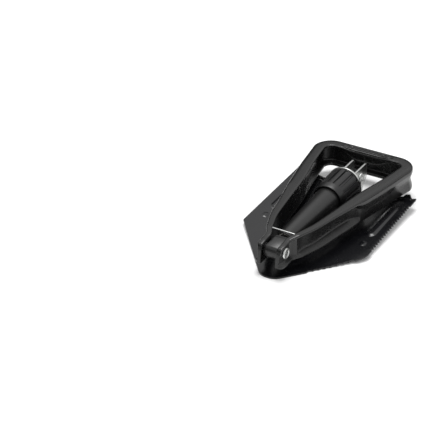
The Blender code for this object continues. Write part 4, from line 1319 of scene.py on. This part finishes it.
@dataclass
class Blade:
    """The pressed blade, the bracket that joins it to its hinge, the rivets and the hinge pin."""

    hinges: Hinges
    length: float = 210.5 * MM
    point: float = 89.5 * MM
    behind: float = 7.0 * MM
    half_width: float = 75.6 * MM
    rear_half_width: float = 74.2 * MM
    thickness: float = 1.8 * MM
    tip_radius: float = 18.0 * MM
    shoulder: float = 12.0 * MM
    flat: float = 17.0 * MM
    dish_at_shoulder: float = 4.5 * MM
    dish_at_rear: float = 11.5 * MM
    saw_pitch: float = 4.8 * MM
    saw_depth: float = 2.6 * MM
    scallop_pitch: float = 6.7 * MM
    scallop_depth: float = 1.7 * MM
    rim: float = 0.3 * MM
    edge_band: float = 7.0 * MM
    beads: tuple[Bead, ...] = (
        Bead(58.4 * MM, 160 * MM, 106 * MM, 7.0 * MM, 1.9 * MM),
        Bead(60.0 * MM, 86.5 * MM, 83.0 * MM, 3.6 * MM, 0.8 * MM),
    )

    def __post_init__(self) -> None:
        """Works out the point's angles and the blade's height."""
        self.slope = self.half_width / self.point
        self.angle = math.atan(self.slope)
        self.tip_centre = self.tip_radius / math.sin(self.angle)
        self.tangent = self.tip_centre - self.tip_radius * math.sin(self.angle)
        self.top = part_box("blade")[0].z + self.thickness
        self.top = self.thickness if abs(self.top - self.thickness) < 0.1 * MM else self.top

    def y_of(self, along: np.ndarray | float) -> np.ndarray | float:
        """World Y of a distance from the unrounded tip."""
        return along - self.length + self.behind + self.hinges.front.y

    def edge_at(self, along: float, right: bool) -> float:
        """Half the blade's width at a distance from the tip, before teeth are cut."""
        if along < self.tangent:
            return math.sqrt(max(self.tip_radius**2 - (self.tip_centre - along) ** 2, 0.0))
        share = (along - self.point) / (self.length - self.point)
        side = self.half_width + max(share, 0.0) * (self.rear_half_width - self.half_width)
        straight = min(along * self.slope, side)
        if not right:
            return straight
        return straight - self.shoulder_cut(along)

    def shoulder_cut(self, along: float) -> float:
        """What the right shoulder's rounding takes off the corner."""
        corner = math.pi / 2 - self.angle
        setback = self.shoulder * math.tan(corner / 2)
        centre_x = self.half_width - self.shoulder
        centre = self.point + setback
        low = centre - self.shoulder * math.sin(corner)
        if not low < along < centre:
            return 0.0
        arc = centre_x + math.sqrt(self.shoulder**2 - (centre - along) ** 2)
        return max(min(along * self.slope, self.half_width) - arc, 0.0)

    def rows(self) -> np.ndarray:
        """Distances from the tip of the grid's rows, close enough for eight to a tooth."""
        turn = np.radians(np.linspace(8, 90 - math.degrees(self.angle), 22))
        tip = self.tip_centre - self.tip_radius * np.cos(turn)
        point_step = self.scallop_pitch * math.cos(self.angle) / 8
        point = np.arange(tip[-1] + point_step, self.point + self.shoulder, point_step)
        side = np.arange(self.point + self.shoulder, self.length - 1.0 * MM, self.saw_pitch / 8)
        return np.concatenate([tip, point, side, [self.length]])

    def dish(self, x: np.ndarray, along: np.ndarray) -> np.ndarray:
        """How far the pressed dish stands above its flat middle."""
        share = np.maximum(np.abs(x) - self.flat, 0.0) / (self.half_width - self.flat)
        stations = (0.0, 0.35 * self.point, self.point, self.length)
        depth = np.interp(along, stations, (0.0, 0.0, self.dish_at_shoulder, self.dish_at_rear))
        return depth * share**1.6

    def step_height(self, x: np.ndarray) -> np.ndarray:
        """Height of the foot step turned up along the rear edge."""
        side = np.abs(x) * self.half_width / self.rear_half_width
        end = self.half_width - 6.6 * MM
        tall_from = end - 7.0 * MM
        under_handle = 12.2 * MM + 0.9 * MM
        room = self.hinges.front.z - under_handle - self.top - self.dish(x, np.full_like(x, self.length))
        low = np.clip(room, 0.5 * MM, 3.2 * MM)
        rise = np.clip((side - 25 * MM) / (2.5 * MM), 0, 1)
        tall = np.clip((side - tall_from + 2 * MM) / (2 * MM), 0, 1)
        fall = np.clip((end + 1 * MM - side) / (2 * MM), 0, 1)
        height = 0.5 * MM + rise * (low - 0.5 * MM) + tall * (6.0 * MM - low)
        return 0.5 * MM + fall * (height - 0.5 * MM)

    def grid(self) -> tuple[np.ndarray, np.ndarray]:
        """The blade's top face as rows by columns of points, and each point's share across."""
        rows = self.rows()
        inner = np.linspace(0, 0.86, 40)
        outer = np.linspace(0.86, 1.0, 15)[1:]
        half = np.concatenate([inner, outer])
        shares = np.concatenate([-half[:0:-1], half])
        left = np.array([self.edge_at(along, False) for along in rows])
        right = np.array([self.edge_at(along, True) for along in rows])
        x = np.where(shares[None, :] < 0, left[:, None], right[:, None]) * shares[None, :]
        along = np.repeat(rows[:, None], len(shares), axis=1)
        z = self.top + self.dish(x, along)
        from_hinge = self.y_of(along) - self.hinges.rear.y
        for bead in self.beads:
            z = z + bead.lift(x, from_hinge)
        points = np.stack([x, self.y_of(along), z], axis=2)
        return np.concatenate([points, self.step_rows(points[-1])]), shares

    def step_rows(self, last: np.ndarray) -> np.ndarray:
        """Rows that carry the rear edge up round a bend into the foot step."""
        height = self.step_height(last[:, 0])
        radius = np.minimum(2.2 * MM, height * 0.9)
        result = []
        for t in np.radians(np.linspace(15, 90, 6)):
            row = last.copy()
            row[:, 1] += radius * (math.sin(t) - 1)
            row[:, 2] += radius * (1 - math.cos(t))
            result.append(row)
        top = last.copy()
        top[:, 2] += height
        return np.array([*result, top])

    def make_plate(self) -> None:
        """Makes the plate: top and bottom skins with a rounded rim, then the serrated edges."""
        top, shares = self.grid()
        start = len(top) - 7
        top[start - 1, :, 1] -= np.minimum(2.2 * MM, self.step_height(top[start - 1, :, 0]) * 0.9)
        run = np.gradient(top, axis=0)
        across = np.gradient(top, axis=1)
        normal = np.cross(across, run)
        normal /= np.maximum(np.linalg.norm(normal, axis=2, keepdims=True), 1e-12)
        normal[:2] = (0, 0, 1)
        bottom = top - normal * self.thickness
        middle = (top + bottom) / 2
        for skin in (top, bottom):
            self.draw_in(skin, shares)
        count, width = top.shape[:2]
        index = np.arange(count * width).reshape(count, width)
        faces = self.grid_faces(index) + [face[::-1] for face in self.grid_faces(index + count * width)]
        loop = self.boundary(index)
        rim = 2 * count * width + np.arange(len(loop))
        for i, here in enumerate(loop):
            j = (i + 1) % len(loop)
            there = loop[j]
            faces.append((here, int(rim[i]), int(rim[j]), there))
            faces.append((int(rim[i]), here + count * width, there + count * width, int(rim[j])))
        flat_middle = middle.reshape(-1, 3)[loop]
        points = np.concatenate([top.reshape(-1, 3), bottom.reshape(-1, 3), flat_middle])
        mesh = make_mesh("blade_plate", points, faces)
        self.mark_edges(mesh, points)
        piece = Piece("blade_plate", mesh)
        tree = serration_tree()
        hypotenuse = math.hypot(self.point, self.half_width)
        scallop_start = 0.43 * hypotenuse
        bites = int((hypotenuse - self.shoulder - scallop_start) / self.scallop_pitch)
        saw_start = hypotenuse + self.shoulder
        teeth = int((self.length - 12 * MM - self.point - self.shoulder) / self.saw_pitch)
        coat = Coat.BLADE.value.material()
        piece.run_tree(
            tree,
            Pitch=self.scallop_pitch,
            Depth=self.scallop_depth,
            Start=scallop_start,
            End=scallop_start + bites * self.scallop_pitch,
            Roundness=1.0,
            Material=coat,
        )
        piece.run_tree(
            tree,
            Pitch=self.saw_pitch,
            Depth=self.saw_depth,
            Start=saw_start,
            End=saw_start + teeth * self.saw_pitch,
            Roundness=0.0,
            Material=coat,
        )
        piece.finish(Coat.BLADE, "blade", ["blade"], angle=42.0)

    def draw_in(self, skin: np.ndarray, shares: np.ndarray) -> None:
        """Draws a skin's border in by the rim's size, so that the rim is round."""
        reach = np.abs(skin[:, :, 0])
        for column in (0, -1):
            skin[:, column, 0] -= np.sign(shares[column]) * np.minimum(self.rim, 0.3 * reach[:, column])
        skin[0, :, 1] += self.rim
        skin[-1, :, 2] -= self.rim

    @staticmethod
    def grid_faces(index: np.ndarray) -> list[tuple[int, ...]]:
        """Faces of a grid of point indices."""
        corners = [index[:-1, :-1], index[:-1, 1:], index[1:, 1:], index[1:, :-1]]
        return list(map(tuple, np.stack(corners, axis=-1).reshape(-1, 4).tolist()))

    @staticmethod
    def boundary(index: np.ndarray) -> list[int]:
        """The grid's border, once round."""
        loop = [*index[0, ::-1], *index[1:, 0], *index[-1, 1:], *index[-2:0:-1, -1]]
        return [int(i) for i in loop]

    def mark_edges(self, mesh: bpy.types.Mesh, points: np.ndarray) -> None:
        """Stores what the serration tree reads, on the right-hand edge only."""
        along = points[:, 1] - self.y_of(0.0)
        on_point = along < self.point
        edge = np.array([self.edge_at(value, True) if value > 0 else 0.0 for value in along])
        depth = edge - points[:, 0]
        share = np.clip(1 - depth / self.edge_band, 0, 1) * (points[:, 0] > 0.02)
        hypotenuse = math.hypot(self.point, self.half_width)
        run = np.where(on_point, along / math.cos(self.angle), along - self.point + hypotenuse)
        inward_x = np.where(on_point, -math.cos(self.angle), -1.0)
        inward_y = np.where(on_point, math.sin(self.angle), 0.0)
        rows = {"edge_share": share, "edge_run": run, "edge_in_x": inward_x, "edge_in_y": inward_y}
        for name, values in rows.items():
            attribute = mesh.attributes.new(name, "FLOAT", "POINT")
            attribute.data.foreach_set("value", np.asarray(values, np.float32))

    def make_bracket(self) -> None:
        """Makes the bracket: two ears on a base plate, with a weld fillet between them."""
        low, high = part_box("blade_bracket")
        centre = self.hinges.front
        wall = 2.1 * MM
        base = box("base", (low.x, low.y, low.z), (high.x, centre.y + 5 * MM, low.z + wall), 0.6 * MM)
        piece = Piece("bracket_plate", base)
        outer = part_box("blade_pin")[1].x - 1.9 * MM - GAP
        end = high.y - centre.y
        top = high.z - centre.z
        foot = low.z - centre.z + 0.4 * MM
        corners = [
            (6.5 * MM, foot, 0.0),
            (6.5 * MM, -end, 3.0 * MM),
            (end, -6.0 * MM, 2.0 * MM),
            (end, top, 3.6 * MM),
            (-end, top, 3.6 * MM),
            (-end, -6.0 * MM, 2.0 * MM),
            (-6.5 * MM, -end, 3.0 * MM),
            (-6.5 * MM, foot, 0.0),
        ]
        outline = round_corners(corners, 7)
        for side in (-1, 1):
            span = sorted((side * (outer - wall), side * outer))
            ear = plate("ear", outline, Axis.X, *span, 0.35 * MM, (0, centre.y, centre.z))
            piece.shape("UNION", ear)
            weld = rod("weld", Axis.Y, (side * outer, centre.y, low.z + wall), 1.1 * MM, -6.2 * MM, 4.6 * MM)
            piece.shape("UNION", weld)
        piece.shape("DIFFERENCE", rod("bore", Axis.X, centre, 3.5 * MM, -0.03, 0.03))
        piece.finish(Coat.PLATE, "blade", ["blade_bracket"], angle=35.0)

    def make_rivets(self) -> None:
        """Makes the four rivets from one rivet and the points where they stand."""
        names = [f"blade_rivet_{number}" for number in range(1, 5)]
        boxes = [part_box(name) for name in names]
        places = [(low + high) / 2 for low, high in boxes]
        low, high = boxes[0]
        radius = (high.x - low.x) / 2
        under = high.z - 1.5 * MM
        height = self.thickness
        crown = 1.5 * MM
        turns = np.linspace(math.pi / 2, 0, 9)
        profile = [(radius * math.cos(a), under + crown * math.sin(a)) for a in turns]
        profile[0] = (0.0, high.z)
        profile += [(2.0 * MM, under), (2.0 * MM, height), (2.9 * MM, low.z + 0.2 * MM), (0.0, low.z)]
        one = Piece("one_rivet", turned("rivet", profile, Axis.Z, (0, 0, 0), 40))
        spots = bpy.data.meshes.new("rivet_places")
        spots.from_pydata([(place.x, place.y, 0.0) for place in places], [], [])
        piece = Piece("blade_rivets", spots)
        piece.run_tree(copies_tree(), Copied=one.object, Material=Coat.PLATE.value.material())
        bpy.data.objects.remove(one.object, do_unlink=True)
        piece.finish(Coat.PLATE, "blade", names)

    def make(self) -> None:
        """Makes the blade's pieces."""
        self.make_plate()
        self.make_bracket()
        self.make_rivets()
        HingePin("blade", self.hinges.front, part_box("blade_pin")[1].x).make()


def dress_kept_nodes(frame: dict) -> None:
    """Gives the frame's own small parts their finishes.
    """
    coats = {
        "threaded_sleeve": Coat.STEEL,
        "collar_insert": Coat.STEEL,
        "core_rod": Coat.STEEL,
        "front_roll_pin": Coat.STEEL,
        "rear_roll_pin": Coat.STEEL,
        "handle_washer_left": Coat.STEEL,
        "handle_washer_right": Coat.STEEL,
        "blade_washer_left": Coat.STEEL,
        "blade_washer_right": Coat.STEEL,
        "collar_seal": Coat.RUBBER,
        "front_bush": Coat.NYLON,
        "rear_bush": Coat.NYLON,
    }
    for name, coat in coats.items():
        node = frame["nodes"][name]
        if not node.material_slots:
            node.data.materials.append(None)
        for place in node.material_slots:
            place.material = coat.value.material()
        LOG.info("%s: kept from the frame, in %s", name, coat.value.name)


# ---------------------------------------------------------------- studio


@dataclass
class Studio:
    """A pale floor, soft light from above, and the camera.

    offset places the camera from the handle's hinge, and the angles are in degrees. The world's
    light goes from `dim` to `bright` as a direction turns towards bright_side, between the two
    values of dusk.
    """

    hinges: Hinges
    offset: Vector = field(default_factory=lambda: Vector((697.3, -1215.8, 896.3)) * MM)
    azimuth: float = 32.41
    elevation: float = 31.25
    roll: float = -1.37
    sensor: float = 36.0
    lens: float = 135.21
    bright_side: tuple[float, float, float] = (0.22, 0.0, 0.975)
    dusk: tuple[float, float] = (0.24, 0.46)
    dim: float = 0.03
    bright: float = 1.0
    key_place: tuple[float, float, float] = (-0.15, 0.25, 1.5)
    key_size: float = 0.7
    key_power: float = 14.0
    pale: float = 0.93

    def make_camera(self) -> None:
        """Makes the camera."""
        data = bpy.data.cameras.new("camera")
        data.sensor_width = self.sensor
        data.lens = self.lens
        data.clip_end = 20.0
        camera = bpy.data.objects.new("camera", data)
        bpy.context.scene.collection.objects.link(camera)
        turn = Matrix.Rotation(math.radians(self.azimuth), 4, "Z")
        tilt = Matrix.Rotation(math.radians(90 - self.elevation), 4, "X")
        roll = Matrix.Rotation(math.radians(self.roll), 4, "Z")
        camera.matrix_world = Matrix.Translation(self.hinges.rear + self.offset) @ turn @ tilt @ roll
        bpy.context.scene.camera = camera

    def make_floor(self) -> None:
        """Makes the floor."""
        mesh = bpy.data.meshes.new("floor")
        reach = 3.0
        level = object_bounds()[0].z - 0.05 * MM
        signs = ((-1, -1), (1, -1), (1, 1), (-1, 1))
        corners = [(x * reach, y * reach, level) for x, y in signs]
        mesh.from_pydata(corners, [], [(0, 1, 2, 3)])
        floor = bpy.data.objects.new("floor", mesh)
        bpy.context.scene.collection.objects.link(floor)
        paint = Surface("floor_white")
        paint.set(Base_Color=(self.pale, self.pale, self.pale, 1.0), Roughness=0.9, Specular_IOR_Level=0.1)
        mesh.materials.append(paint.material)
        floor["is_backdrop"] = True

    def make_key(self, target: Vector) -> None:
        """Makes the soft square light overhead, facing a target."""
        data = bpy.data.lights.new("key", "AREA")
        data.shape = "SQUARE"
        data.size = self.key_size
        data.energy = self.key_power
        light = bpy.data.objects.new("key", data)
        light.location = Vector(self.key_place)
        light.rotation_euler = (target - light.location).to_track_quat("-Z", "Y").to_euler()
        bpy.context.scene.collection.objects.link(light)

    def light_world(self, graph: NodeGraph) -> None:
        """Lights the world from above and from the shovel's right, and leaves its low left dim."""
        direction = graph.out("ShaderNodeTexCoord", output="Generated")
        settings = {"operation": "DOT_PRODUCT"}
        facing = graph.out("ShaderNodeVectorMath", settings, {0: direction, 1: self.bright_side}, "Value")
        strength = facing.spread(self.dusk[0], self.dusk[1], self.dim, self.bright)
        graph.feed(graph.tree.nodes["Background"].inputs["Strength"], strength)
        graph.feed(graph.tree.nodes["Background"].inputs["Color"], (1.0, 1.0, 1.0, 1.0))

    def make(self) -> None:
        """Makes the studio."""
        self.make_camera()
        self.make_floor()
        world = bpy.data.worlds.new("studio")
        bpy.context.scene.world = world
        world.use_nodes = True
        self.light_world(NodeGraph(world.node_tree))
        self.make_key(Vector((0, 0, 0.02)))
        bpy.context.scene.view_settings.view_transform = "Standard"


def main() -> None:
    """Builds the shovel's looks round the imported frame."""
    logging.basicConfig(level=logging.INFO, format="%(message)s")
    for obj in list(bpy.data.objects):
        bpy.data.objects.remove(obj, do_unlink=True)
    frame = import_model()
    hinges = Hinges.of(frame)
    Studio(hinges).make()
    dress_kept_nodes(frame)
    Handle(hinges).make()
    Shaft(hinges).make()
    Blade(hinges).make()


if __name__ == "__main__":
    main()
